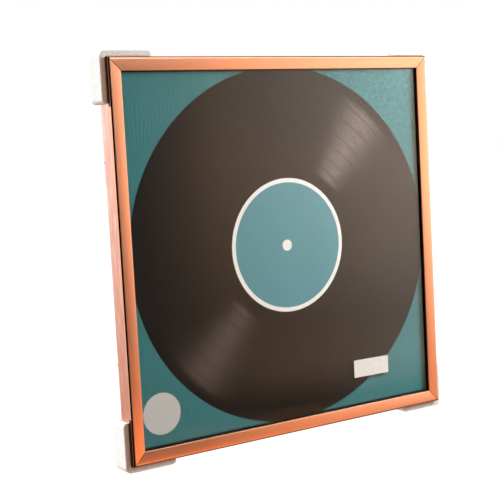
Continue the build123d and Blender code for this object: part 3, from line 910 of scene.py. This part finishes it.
class Workshop:
    """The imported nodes, the frame's finishes, and their materials, each built once."""

    def __init__(self, nodes: dict[str, bpy.types.Object]) -> None:
        """Build the shared groups.

        Args:
            nodes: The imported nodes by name.
        """
        self.nodes = nodes
        self.finishes = Finishes()
        self.groups = GroupLibrary()
        self.made: dict[str, bpy.types.Material] = {}

    def material(self, finish: Finish) -> bpy.types.Material:
        """Give a finish's material.

        Args:
            finish: The finish.

        Returns:
            Its material, built on first use.
        """
        if finish.name not in self.made:
            self.made[finish.name] = finish.build(self.groups)
        return self.made[finish.name]

    def wear(self, piece: bpy.types.Object, finish: Finish) -> None:
        """Put a finish on a piece, in place of what it had."""
        piece.data.materials.clear()
        piece.data.materials.append(self.material(finish))


def new_piece(name: str, shape: bmesh.types.BMesh) -> bpy.types.Object:
    """Make an object at the origin from a finished shape.

    Args:
        name: The piece's name.
        shape: Its mesh, which is freed.

    Returns:
        The object, linked to the scene.
    """
    mesh = bpy.data.meshes.new(name)
    shape.to_mesh(mesh)
    shape.free()
    piece = bpy.data.objects.new(name, mesh)
    bpy.context.scene.collection.objects.link(piece)
    return piece


def modify(piece: bpy.types.Object, name: str, kind: str, **settings: object) -> bpy.types.Modifier:
    """Add a modifier to a piece.

    Args:
        piece: The piece.
        name: The modifier's name.
        kind: Its type.
        **settings: Its properties.

    Returns:
        The modifier.
    """
    modifier = piece.modifiers.new(name, kind)
    for key, value in settings.items():
        setattr(modifier, key, value)
    return modifier


def baked(piece: bpy.types.Object) -> bpy.types.Object:
    """Turn a piece's modifiers into plain mesh.

    Args:
        piece: An object whose modifiers make its shape.

    Returns:
        The same object with the finished mesh and no modifiers.
    """
    graph = bpy.context.evaluated_depsgraph_get()
    graph.update()
    mesh = bpy.data.meshes.new_from_object(piece.evaluated_get(graph), depsgraph=graph)
    mesh.name = piece.name
    piece.modifiers.clear()
    piece.data = mesh
    return piece


def turned(points: Sequence[Vector], degrees: float) -> list[Vector]:
    """Turn points about the line along +Y through the frame's middle.

    Args:
        points: The points in millimetres.
        degrees: The turn, by the right-hand rule.

    Returns:
        The turned points.
    """
    middle = Vector((0.0, 0.0, MIDDLE_Z))
    turn = Matrix.Rotation(math.radians(degrees), 3, "Y")
    return [middle + turn @ (point - middle) for point in points]


@dataclass
class Rails:
    """Four mitred hollow rails. Sizes in millimetres; depth from the front, inset from the outer edge."""

    tube_wall: float = 1.2
    face_wall: float = 1.4
    lip_depth: float = 3.5
    return_wall: float = 1.2
    edge_radius: float = 0.6
    back_radius: float = 0.5
    face_fall: float = 0.85
    face_crown: float = 0.14
    mitre_gap: float = 0.36
    edge_softness: float = 0.09
    sharp_angle: float = 40.0
    outer_steps: int = 14
    face_steps: int = 16
    inner_steps: int = 6
    back_steps: int = 5

    @staticmethod
    def arc(middle: Spot, radius: float, start: float, end: float, steps: int) -> list[Spot]:
        """Give an arc's points as (depth, inset), with angles in degrees from backwards to the window."""
        angles = [math.radians(start + (end - start) * step / steps) for step in range(steps + 1)]
        return [(middle[0] + radius * math.cos(a), middle[1] + radius * math.sin(a)) for a in angles]

    def outline(self) -> list[Spot]:
        """Give the outside of the section.

        Returns:
            The points as (depth, inset), in order.
        """
        face_end = FACE_WIDTH - self.edge_radius
        face = []
        for step in range(1, self.face_steps):
            share = step / self.face_steps
            crown = 4 * self.face_crown * share * (1 - share)
            face.append((self.face_fall * share - crown, OUTER_RADIUS + (face_end - OUTER_RADIUS) * share))
        lip = FACE_WIDTH - self.return_wall
        depth = BACK_Y - FRONT_Y
        inner = (self.face_fall + self.edge_radius, face_end)
        back = (depth - self.back_radius, self.back_radius)
        return [
            *self.arc((OUTER_RADIUS, OUTER_RADIUS), OUTER_RADIUS, 270, 180, self.outer_steps),
            *face,
            *self.arc(inner, self.edge_radius, 180, 90, self.inner_steps),
            (self.lip_depth, FACE_WIDTH),
            (self.lip_depth, lip),
            (self.face_wall, lip),
            (self.face_wall, TUBE_WIDTH),
            (depth, TUBE_WIDTH),
            *self.arc(back, self.back_radius, 0, -90, self.back_steps),
        ]

    def chamber(self) -> list[Spot]:
        """Give the hollow inside the section.

        Returns:
            The points as (depth, inset), in order.
        """
        radius = OUTER_RADIUS - self.tube_wall
        back = BACK_Y - FRONT_Y - self.tube_wall
        far = TUBE_WIDTH - self.tube_wall
        return [
            *self.arc((self.face_wall + radius, OUTER_RADIUS), radius, 270, 180, self.inner_steps),
            (self.face_wall, far),
            (back, far),
            (back, self.tube_wall),
        ]

    def rail(self, side: Side) -> bpy.types.Object:
        """Make one rail between its two mitres.

        Args:
            side: The side that it lies on.

        Returns:
            The rail's object.
        """
        shape = bmesh.new()
        reach = HALF_FRAME - self.mitre_gap / 2 / math.cos(math.pi / 4)
        foot = MIDDLE_Z - HALF_FRAME
        end_edges = {-1: [], 1: []}
        for loop in (self.outline(), self.chamber()):
            rings = {}
            for way in (-1, 1):
                corners = [
                    Vector((way * (reach - inset), FRONT_Y + depth, foot + inset)) for depth, inset in loop
                ]
                rings[way] = [shape.verts.new(point * MM) for point in turned(corners, side.value)]
            left, right = rings[-1], rings[1]
            pairs = [(index, (index + 1) % len(loop)) for index in range(len(loop))]
            for index, following in pairs:
                shape.faces.new((left[index], left[following], right[following], right[index]))
            for way, ring in rings.items():
                for index, following in pairs:
                    end_edges[way].append(shape.edges.get((ring[index], ring[following])))
        for edges in end_edges.values():
            bmesh.ops.triangle_fill(shape, use_beauty=True, use_dissolve=False, edges=edges)
        bmesh.ops.recalc_face_normals(shape, faces=shape.faces)
        for face in shape.faces:
            face.smooth = True
        piece = new_piece(f"copper_rail_{side.name.lower()}", shape)
        bevel = modify(piece, "soft_edges", "BEVEL", width=self.edge_softness * MM, segments=2)
        bevel.limit_method = "ANGLE"
        bevel.angle_limit = math.radians(self.sharp_angle)
        modify(piece, "flat_faces", "WEIGHTED_NORMAL", keep_sharp=True)
        return baked(piece)

    def build(self, shop: Workshop) -> None:
        """Make and dress the four rails.

        Args:
            shop: The workshop.
        """
        for side in Side:
            piece = self.rail(side)
            upright = side in (Side.LEFT, Side.RIGHT)
            shop.wear(piece, shop.finishes.copper_upright if upright else shop.finishes.copper_across)
            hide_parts(f"rail_{side.name.lower()}")
            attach(piece, ROOT_BODY)
            log.info("%s: %d faces", piece.name, len(piece.data.polygons))


@dataclass
class FrontFilm:
    """The loose protective film on the clear sheet. Sizes in millimetres.

    A wave is its turn in radians per millimetre across and up, and its start.
    """

    half: float = 158.0
    back_y: float = -8.25
    thickness: float = 0.1
    rise: float = 0.16
    cells: int = 96
    fade: Range = (1.0, 14.0)
    sticker_middle: Spot = (85.7, -119.3)
    sticker_half: Spot = (20.0, 8.0)
    waves: tuple[tuple[float, float, float], ...] = (
        (0.031, 0.017, 0.4),
        (-0.022, 0.043, 1.9),
        (0.058, -0.036, 3.1),
        (0.011, 0.071, 5.0),
    )

    def lift(self, x: float, z: float) -> float:
        """Tell how far the film stands off the sheet.

        Args:
            x: The place across, from the middle.
            z: The place up, from the middle.

        Returns:
            The height, nothing under the rails' lips and under the sticker.
        """
        edge = HALF_FRAME - FACE_WIDTH - max(abs(x), abs(z))
        off_sticker = max(
            abs(x - self.sticker_middle[0]) - self.sticker_half[0],
            abs(z - self.sticker_middle[1]) - self.sticker_half[1],
        )
        calm = smoothstep(*self.fade, edge) * smoothstep(*self.fade, off_sticker)
        swell = sum(math.sin(a * x + b * z + start) for a, b, start in self.waves) / len(self.waves)
        return self.rise * (0.5 + 0.5 * swell) * calm

    def build(self, shop: Workshop) -> None:
        """Make and dress the film.

        Args:
            shop: The workshop.
        """
        shape = bmesh.new()
        step = 2 * self.half / self.cells
        places = [-self.half + index * step for index in range(self.cells + 1)]
        rows = [
            [shape.verts.new(Vector((x, self.back_y - self.lift(x, z), MIDDLE_Z + z)) * MM) for x in places]
            for z in places
        ]
        for lower, upper in zip(rows, rows[1:]):
            for column in range(self.cells):
                shape.faces.new((lower[column], lower[column + 1], upper[column + 1], upper[column]))
        for face in shape.faces:
            face.smooth = True
        piece = new_piece("front_film", shape)
        modify(piece, "film_gauge", "SOLIDIFY", thickness=self.thickness * MM, offset=1.0)
        baked(piece)
        shop.wear(piece, shop.finishes.film)
        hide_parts("protective_film_front")
        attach(piece, ROOT_BODY)
        log.info("%s: %d faces", piece.name, len(piece.data.polygons))


@dataclass
class FoamGuards:
    """Four corner guards of white beaded foam. Sizes in millimetres."""

    seam_depth: float = 0.14
    seam_width: float = 0.2
    seam_share: float = 0.75
    drift_scale: float = 120.0
    drift_share: float = 0.35
    voxel: float = 0.62
    seed: float = 7.0

    def bead_tree(self) -> bpy.types.NodeTree:
        """Build the tree that presses the seams between the beads into a surface.

        Returns:
            A Geometry Nodes group with the inputs Bead, Seam Depth, Seed and Finish.
        """
        inputs = {
            "Geometry": (Kind.GEOMETRY, None),
            "Bead": (Kind.NUMBER, FOAM_BEAD * MM),
            "Seam Depth": (Kind.NUMBER, self.seam_depth * MM),
            "Seed": (Kind.NUMBER, self.seed),
            "Finish": (Kind.MATERIAL, None),
        }
        outputs = {"Geometry": Kind.GEOMETRY}
        graph, given, result = new_group("foam_beads", "GeometryNodeTree", inputs, outputs)
        where = graph.add("GeometryNodeInputPosition").outputs[0]
        edge = graph.cells(where, graph.math("DIVIDE", 1.0, given["Bead"]))
        seam = graph.times(graph.ease(edge, 0.0, self.seam_width, (1.0, 0.0)), self.seam_share)
        shifted = graph.vector("ADD", where, graph.scaled((1.0, 1.0, 1.0), given["Seed"]))
        pressed = graph.line(graph.noise(shifted, self.drift_scale), self.drift_share, seam)
        inwards = graph.times(given["Seam Depth"], pressed, -1.0)
        normal = graph.add("GeometryNodeInputNormal").outputs[0]
        skin = graph.step("GeometryNodeSetPosition", given["Geometry"], Offset=graph.scaled(normal, inwards))
        skin = graph.step("GeometryNodeSetShadeSmooth", skin)
        skin = graph.step("GeometryNodeRealizeInstances", skin)
        skin = graph.step("GeometryNodeSetMaterial", skin, Material=given["Finish"])
        graph.feed(result["Geometry"], skin)
        return graph.tree

    def build(self, shop: Workshop) -> None:
        """Make and dress the four guards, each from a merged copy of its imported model.

        Args:
            shop: The workshop.
        """
        beads = self.bead_tree()
        finish_input = beads.interface.items_tree["Finish"].identifier
        for corner in Corner:
            name = f"corner_guard_{corner.name.lower()}"
            shape = bmesh.new()
            shape.from_mesh(shop.nodes[name].data)
            bmesh.ops.remove_doubles(shape, verts=shape.verts, dist=WELD_REACH * MM)
            piece = new_piece(f"foam_guard_{corner.name.lower()}", shape)
            modify(piece, "even_skin", "REMESH", mode="VOXEL", voxel_size=self.voxel * MM)
            modify(piece, "soft_skin", "SMOOTH", factor=0.5, iterations=2)
            pressed = modify(piece, "beads", "NODES", node_group=beads)
            pressed[finish_input] = shop.material(shop.finishes.foam)
            baked(piece)
            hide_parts(name)
            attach(piece, name)
            log.info("%s: %d faces", piece.name, len(piece.data.polygons))


@dataclass
class ScrewSet:
    """Cross-head screws of one kind. Sizes in millimetres; the head's seat lies at the screw's origin."""

    name: str
    node: str
    places: tuple[Spot, ...]
    seat_y: float
    profile: tuple[Spot, ...]
    recess_top: float
    seed: int = 3
    recess_span: float = 2.2
    recess_width: float = 0.62
    recess_depth: float = 0.75
    recess_taper: float = 0.55
    driver_rise: float = 0.4
    turn_steps: int = 32
    sharp_angle: float = 35.0

    def driver(self) -> bpy.types.Object:
        """Make the tapered cross that presses the recess.

        Returns:
            The cross as a helper object.
        """
        cross = bmesh.new()
        for across, up in ((self.recess_span, self.recess_width), (self.recess_width, self.recess_span)):
            for vert in bmesh.ops.create_cube(cross, size=1.0)["verts"]:
                deep = vert.co.y < 0
                taper = self.recess_taper if deep else 1.0
                y = self.recess_top - self.recess_depth if deep else self.recess_top + self.driver_rise
                x = vert.co.x * across * (taper if across > up else 1.0)
                z = vert.co.z * up * (taper if up > across else 1.0)
                vert.co = Vector((x, y, z)) * MM
        return new_piece(f"{self.name}_driver", cross)

    def one_screw(self) -> bpy.types.Object:
        """Turn one screw from its profile and press the cross recess into its head.

        Returns:
            The screw as a helper object, its axis along Y.
        """
        shape = bmesh.new()
        chain = [shape.verts.new(Vector((radius, y, 0.0)) * MM) for radius, y in self.profile]
        geom = [*chain, *(shape.edges.new(pair) for pair in zip(chain, chain[1:]))]
        turn = {"axis": (0, 1, 0), "cent": (0, 0, 0), "angle": math.tau, "steps": self.turn_steps}
        bmesh.ops.spin(shape, geom=geom, use_merge=True, **turn)
        bmesh.ops.remove_doubles(shape, verts=shape.verts, dist=WELD_REACH * MM)
        bmesh.ops.recalc_face_normals(shape, faces=shape.faces)
        screw = new_piece(f"{self.name}_blank", shape)
        tool = self.driver()
        cut = modify(screw, "recess", "BOOLEAN", operation="DIFFERENCE", solver="EXACT")
        cut.use_self = True
        cut.object = tool
        baked(screw)
        bpy.data.objects.remove(tool)
        screw.data.polygons.foreach_set("use_smooth", [True] * len(screw.data.polygons))
        screw.data.set_sharp_from_angle(angle=math.radians(self.sharp_angle))
        return screw

    def scatter_tree(self) -> bpy.types.NodeTree:
        """Build the tree that puts one screw on each point, each turned by chance as a driver leaves it.

        Returns:
            A Geometry Nodes group with the inputs Screw, Seed and Finish.
        """
        name = f"{self.name}_rows"
        inputs = {
            "Geometry": (Kind.GEOMETRY, None),
            "Screw": (Kind.OBJECT, None),
            "Seed": (Kind.WHOLE, self.seed),
            "Finish": (Kind.MATERIAL, None),
        }
        graph, given, result = new_group(name, "GeometryNodeTree", inputs, {"Geometry": Kind.GEOMETRY})
        screw = graph.add("GeometryNodeObjectInfo", {"Object": given["Screw"]}).outputs["Geometry"]
        chance = graph.add("FunctionNodeRandomValue", {"Seed": given["Seed"]}, data_type="FLOAT")
        lowest, highest = (s for s in chance.inputs if s.type == "VALUE" and s.enabled)
        lowest.default_value, highest.default_value = 0.0, math.tau
        angle = next(s for s in chance.outputs if s.enabled)
        spin = graph.add("ShaderNodeCombineXYZ", {"Y": angle}).outputs[0]
        inputs = {"Points": given["Geometry"], "Instance": screw, "Rotation": spin}
        rows = graph.add("GeometryNodeInstanceOnPoints", inputs).outputs["Instances"]
        rows = graph.step("GeometryNodeRealizeInstances", rows)
        rows = graph.step("GeometryNodeSetMaterial", rows, Material=given["Finish"])
        graph.feed(result["Geometry"], rows)
        return graph.tree

    def build(self, shop: Workshop) -> None:
        """Make and dress the screws of all four sides.

        Args:
            shop: The workshop.
        """
        screw = self.one_screw()
        shape = bmesh.new()
        for side in Side:
            spots = [Vector((x, self.seat_y, MIDDLE_Z + z)) for x, z in self.places]
            for spot in turned(spots, side.value):
                shape.verts.new(spot * MM)
        piece = new_piece(self.name, shape)
        tree = self.scatter_tree()
        rows = modify(piece, "rows", "NODES", node_group=tree)
        rows[tree.interface.items_tree["Screw"].identifier] = screw
        rows[tree.interface.items_tree["Finish"].identifier] = shop.material(shop.finishes.screw)
        baked(piece)
        bpy.data.objects.remove(screw)
        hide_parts(self.node)
        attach(piece, ROOT_BODY)
        log.info("%s: %d faces", piece.name, len(piece.data.polygons))


@dataclass
class Screws:
    """The screws in the backs of the rails. Sizes in millimetres; a profile is (radius, Y) from the tip."""

    button_from_middle: float = 82.0
    button_seat: float = 1.3
    button_shank: tuple[Spot, ...] = ((0.0, -6.0), (1.15, -4.9), (1.15, 0.0), (2.05, 0.0), (2.2, 0.15))
    button_rim: Spot = (2.2, 0.9)
    button_crown: float = 0.4
    crown_angles: tuple[float, ...] = (0.0, 0.35, 0.7, 1.1)
    key_from_corner: float = 24.0
    key_shank: tuple[Spot, ...] = ((0.0, -6.0), (0.95, -5.0), (0.95, -0.9))
    key_head: tuple[Spot, ...] = ((1.86, -0.05), (1.8, 0.0), (0.0, 0.0))

    def build(self, shop: Workshop) -> None:
        """Make the turn buttons' pan-head screws and the keys' countersunk screws.

        Args:
            shop: The workshop.
        """
        line = TUBE_WIDTH / 2 - HALF_FRAME
        radius, rim = self.button_rim
        top = rim + self.button_crown
        crown = [
            (radius * math.cos(angle), rim + self.button_crown * math.sin(angle))
            for angle in self.crown_angles
        ]
        ScrewSet(
            "button_pan_screws",
            "button_screws",
            ((-self.button_from_middle, line), (self.button_from_middle, line)),
            BACK_Y + self.button_seat,
            (*self.button_shank, *crown, (0.0, top)),
            recess_top=top,
        ).build(shop)
        reach = HALF_FRAME - self.key_from_corner
        ScrewSet(
            "key_flat_screws",
            "corner_screws",
            ((-reach, line), (reach, line)),
            BACK_Y,
            (*self.key_shank, *self.key_head),
            recess_top=0.0,
            seed=11,
        ).build(shop)


@dataclass
class ModelPieces:
    """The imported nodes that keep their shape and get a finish."""

    def build(self, shop: Workshop) -> None:
        """Dress each of them.

        Args:
            shop: The workshop.
        """
        finishes = shop.finishes
        plan = {
            "corner_key_": (finishes.zinc, "key_zinc"),
            "turn_button_": (finishes.button, "button_steel"),
            "hanger_": (finishes.hanger, "hanger_steel"),
            "acrylic_glazing": (finishes.acrylic, "acrylic_clear"),
            "protective_film_back": (finishes.film_back, "film_clear"),
            "printed_insert": (finishes.printed, "printed_card"),
            "filler_card_": (finishes.cardboard, "filler_cardboard"),
            "backing_board": (finishes.hardboard, "board_hardboard"),
            "bare_sticker": (finishes.paper, "sticker_paper"),
        }
        for name, node in sorted(shop.nodes.items()):
            for start, (finish, slot) in plan.items():
                if name.startswith(start):
                    shop.wear(node, finish)
                    log.info("%s: %s", name, finish.name)


@dataclass(frozen=True)
class Card:
    """An upright glowing card that only mirrors see: its reach is left, right, lower and upper."""

    name: str
    y: float
    reach: tuple[float, float, float, float]
    strength: float
    colour: Colour


@dataclass
class Studio:
    """The camera, the pale floor, the white surroundings and the soft lights. Metres and degrees.

    A bearing is 0 in front of the frame, below 0 to the left and above 0 to the right. The ranges
    left, front_left and front_right are bearings. Those after them are parts of the unit vector
    towards the light, and the cards' ranges are places on the card.
    """

    azimuth: float = -32.74
    elevation: float = 5.20
    roll: float = 3.11
    distance: float = 0.953
    aim: tuple[float, float, float] = (-0.0422, -0.0115, 0.1702)
    lens: float = 80.84
    floor_reach: float = 8.0
    floor_z: float = -0.0003
    floor_glow: float = 0.93
    key_place: tuple[float, float, float] = (0.60, -0.42, 0.52)
    key_aim: tuple[float, float, float] = (0.02, 0.0, 0.17)
    key_size: float = 0.34
    key_power: float = 7.4
    key_colour: Colour = (0.88, 1.0, 1.0)
    warm: Card = Card("warm_card", -0.5119, (0.09, 0.85, -0.14, 0.6), 2.4, (1.0, 0.60, 0.34))
    cool: Card = Card("cool_card", -0.56, (-0.35, 1.3, 0.42, 1.3), 8.5, (0.95, 1.0, 1.05))
    low: Card = Card("low_card", -0.5119, (-0.15, 0.85, -0.40, -0.145), 2.7, (1.0, 0.41, 0.15))
    warm_pale: Colour = (1.0, 0.75, 0.58)
    warm_end: Colour = (0.95, 1.0, 1.05)
    warm_lean: float = 0.098
    warm_shift: float = 0.2
    warm_across: Stops = (
        *((0.10, 0.0), (0.165, 0.14), (0.24, 0.45), (0.31, 0.56)),
        *((0.42, 0.77), (0.53, 1.02), (0.60, 1.12), (0.70, 0.85), (0.85, 0.5)),
    )
    warm_up: Stops = (
        *((0.13, 0.0), (0.155, 0.34), (0.175, 0.58), (0.25, 0.45)),
        *((0.34, 0.76), (0.47, 1.05), (0.58, 0.85), (0.8, 0.5)),
    )
    warm_paler: Range = (0.28, 0.58)
    warm_end_start: Range = (0.61, 0.70)
    cool_lower: Range = (0.45, 0.52)
    cool_upper: Range = (1.0, 0.6)
    cool_left: Range = (-0.3, 0.1)
    cool_right: Range = (0.40, 0.62)
    low_upper: Range = (-0.145, -0.16)
    low_right: Range = (0.65, 0.35)
    left: Range = (-115.0, -135.0)
    front_left: Range = (-45.0, -25.0)
    front_right: Range = (19.0, 12.0)
    left_rise: Range = (-0.30, 0.06)
    low_fade: Range = (-0.3, 0.05)
    above: Range = (0.35, 0.75)
    below: Range = (-0.17, -0.24)
    behind: Range = (-0.1, 0.2)
    in_front: Range = (0.3, -0.3)
    far_left: Range = (-0.25, -0.55)
    white: float = 1.05
    dark: float = 0.02
    band: float = 2.6
    left_low: Colour = (0.5, 0.32, 0.27)
    left_high: Colour = (1.2, 1.35, 1.6)
    left_front: Colour = (0.22, 0.13, 0.08)
    overhead: Colour = (0.25, 0.25, 0.25)
    overhead_back: Colour = (0.8, 0.8, 0.79)
    overhead_left: Colour = (11.0, 11.2, 11.3)
    lower_front: Colour = (0.26, 0.25, 0.24)
    lower_soft: Colour = (0.75, 0.38, 0.22)

    def camera(self) -> None:
        """Place the camera as the photograph was taken."""
        data = bpy.data.cameras.new("view")
        data.sensor_width = 36.0
        data.lens = self.lens
        data.clip_start, data.clip_end = 0.05, 50.0
        azimuth, elevation, roll = (math.radians(a) for a in (self.azimuth, self.elevation, self.roll))
        level = math.cos(elevation)
        back = Vector((math.sin(azimuth) * level, -math.cos(azimuth) * level, math.sin(elevation)))
        right = (-back).cross(Vector((0, 0, 1))).normalized()
        down = (-back).cross(right)
        rolled_right = right * math.cos(roll) + down * math.sin(roll)
        rolled_down = down * math.cos(roll) - right * math.sin(roll)
        turn = Matrix((rolled_right, -rolled_down, back)).transposed().to_4x4()
        item = bpy.data.objects.new("view", data)
        item.matrix_world = Matrix.Translation(Vector(self.aim) + back * self.distance) @ turn
        bpy.context.scene.collection.objects.link(item)
        bpy.context.scene.camera = item

    def plane(self, name: str, corners: Sequence[Sequence[float]]) -> tuple[bpy.types.Object, Graph]:
        """Make a flat stage piece with an empty material.

        Args:
            name: Its name.
            corners: Its corners in order.

        Returns:
            The object, marked as stage, and its material's graph.
        """
        material = bpy.data.materials.new(name)
        material.use_nodes = True
        shape = bmesh.new()
        shape.faces.new([shape.verts.new(corner) for corner in corners])
        piece = new_piece(name, shape)
        piece.data.materials.append(material)
        return piece, Graph(material.node_tree)

    def floor(self) -> None:
        """Lay the pale floor. Mirrors look past it to the surroundings."""
        reach, z = self.floor_reach, self.floor_z
        corners = ((-reach, -reach, z), (reach, -reach, z), (reach, reach, z), (-reach, reach, z))
        floor, graph = self.plane("pale_floor", corners)
        tone = graph.noise(graph.object_place(), 3.0)
        inputs = {
            "Base Color": graph.blend(tone, (0.14, 0.14, 0.14), (0.16, 0.16, 0.158)),
            "Roughness": 0.9,
            "Emission Color": (1.0, 1.0, 1.0),
            "Emission Strength": self.floor_glow,
        }
        surface = graph.add("ShaderNodeBsdfPrincipled", inputs)
        graph.show(surface)
        floor.visible_glossy = False
        floor.visible_transmission = False
        floor.visible_diffuse = False

    def hang(self, card: Card) -> tuple[Graph, bpy.types.Node, Socket, Socket]:
        """Hang a card.

        Args:
            card: The card.

        Returns:
            Its graph, its glow, and the X and Z on it.
        """
        left, right, lower, upper = card.reach
        spots = ((left, lower), (right, lower), (right, upper), (left, upper))
        piece, graph = self.plane(card.name, [(x, card.y, z) for x, z in spots])
        piece.visible_camera = False
        piece.visible_diffuse = False
        piece.visible_shadow = False
        glow = graph.add("ShaderNodeEmission", {"Color": card.colour})
        graph.show(glow)
        x, _, z = graph.parts(graph.object_place())
        return graph, glow, x, z

    def warm_card(self) -> None:
        """Hang the warm card, whose soft light the film and the rails mirror."""
        graph, glow, x, z = self.hang(self.warm)
        height = graph.math("ADD", graph.line(x, self.warm_lean, z), self.warm_shift)
        strength = graph.times(graph.ramp(x, self.warm_across), graph.ramp(height, self.warm_up))
        graph.feed(glow.inputs["Strength"], graph.times(strength, self.warm.strength))
        paler = graph.ease(graph.line(z, 0.5, x), *self.warm_paler)
        colour = graph.blend(paler, self.warm.colour, self.warm_pale)
        at_end = graph.ease(x, *self.warm_end_start)
        graph.feed(glow.inputs["Color"], graph.blend(at_end, colour, self.warm_end))

    def cool_card(self) -> None:
        """Hang the cool card above the warm one."""
        graph, glow, x, z = self.hang(self.cool)
        lower, upper = graph.ease(z, *self.cool_lower), graph.ease(z, *self.cool_upper, (0.15, 1.0))
        left = graph.ease(x, *self.cool_left, (0.7, 1.0))
        right = graph.ease(x, *self.cool_right, (1.0, 0.82))
        graph.feed(glow.inputs["Strength"], graph.times(lower, left, upper, right, self.cool.strength))

    def low_card(self) -> None:
        """Hang the reddish card below the warm one."""
        graph, glow, x, z = self.hang(self.low)
        upper, right = graph.ease(z, *self.low_upper), graph.ease(x, *self.low_right, (0.25, 1.0))
        graph.feed(glow.inputs["Strength"], graph.times(upper, right, self.low.strength))

    def key(self) -> None:
        """Place the soft key light at the right front. Mirrors don't show it."""
        data = bpy.data.lights.new("key", "AREA")
        data.shape = "DISK"
        data.size = self.key_size
        data.energy = self.key_power
        data.color = self.key_colour
        item = bpy.data.objects.new("key", data)
        item.location = self.key_place
        item.rotation_mode = "QUATERNION"
        item.rotation_quaternion = (Vector(self.key_aim) - item.location).to_track_quat("-Z", "Y")
        item.visible_glossy = False
        bpy.context.scene.collection.objects.link(item)

    def round_about(self) -> Stops:
        """Give the room's brightness by bearing.

        Returns:
            Stops over the circle: 0 and 1 behind, 0.25 left, 0.5 in front and 0.75 right.
        """
        white, dark, band = self.white, self.dark, self.band
        left = ((0.0, white), (0.17, white), (0.20, band), (0.235, band), (0.275, dark), (0.545, dark))
        right = ((0.62, 0.6), (0.66, 2.2), (0.76, 2.4), (0.85, white), (1.0, white))
        return left + right

    def surroundings(self) -> None:
        """Build the room: white all round, but dark in front and to the left front."""
        world = bpy.data.worlds.new("white_room")
        bpy.context.scene.world = world
        world.use_nodes = True
        graph = Graph(world.node_tree)
        x, y, z = graph.parts(graph.add("ShaderNodeTexCoord").outputs["Generated"])
        bearing = graph.math("DEGREES", graph.math("ARCTAN2", x, graph.times(y, -1.0)))
        room = graph.ramp(graph.line(bearing, 1 / 360, 0.5), self.round_about())
        room = graph.times(room, graph.ease(z, *self.low_fade, (0.55, 1.0)))
        left = graph.blend(graph.ease(z, *self.left_rise), self.left_low, self.left_high)
        behind = graph.ease(y, *self.behind)
        far_left = graph.times(graph.ease(x, *self.far_left), behind)
        overhead = graph.blend(behind, self.overhead, self.overhead_back)
        overhead = graph.blend(far_left, overhead, self.overhead_left)
        path = graph.add("ShaderNodeLightPath").outputs
        lower = graph.blend(path["Is Glossy Ray"], self.lower_soft, self.lower_front)
        front = graph.times(graph.ease(bearing, *self.front_left), graph.ease(bearing, *self.front_right))
        below = graph.times(graph.ease(z, *self.below), graph.ease(y, *self.in_front))
        for mask, light in (
            (graph.ease(bearing, *self.left), left),
            (front, self.left_front),
            (graph.ease(z, *self.above), overhead),
            (below, lower),
            (path["Is Camera Ray"], (1.0, 1.0, 1.0)),
        ):
            room = graph.blend(mask, room, light)
        background = graph.add("ShaderNodeBackground", {"Color": room})
        graph.show(background, "ShaderNodeOutputWorld")

    def build(self) -> None:
        """Set up the camera, the stage and the lights."""
        self.camera()
        self.floor()
        self.warm_card()
        self.cool_card()
        self.low_card()
        self.key()
        self.surroundings()
        bpy.context.scene.view_settings.view_transform = "Standard"
        log.info("studio ready")


def main(frame: dict) -> None:
    """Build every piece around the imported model.
    """
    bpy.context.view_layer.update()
    Studio().build()
    shop = Workshop(frame["nodes"])
    for assembly in (ModelPieces(), Rails(), FrontFilm(), Screws(), FoamGuards()):
        assembly.build(shop)


if __name__ == "__main__":
    logging.basicConfig(level=logging.INFO, format="%(name)s %(message)s")
    main(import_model())
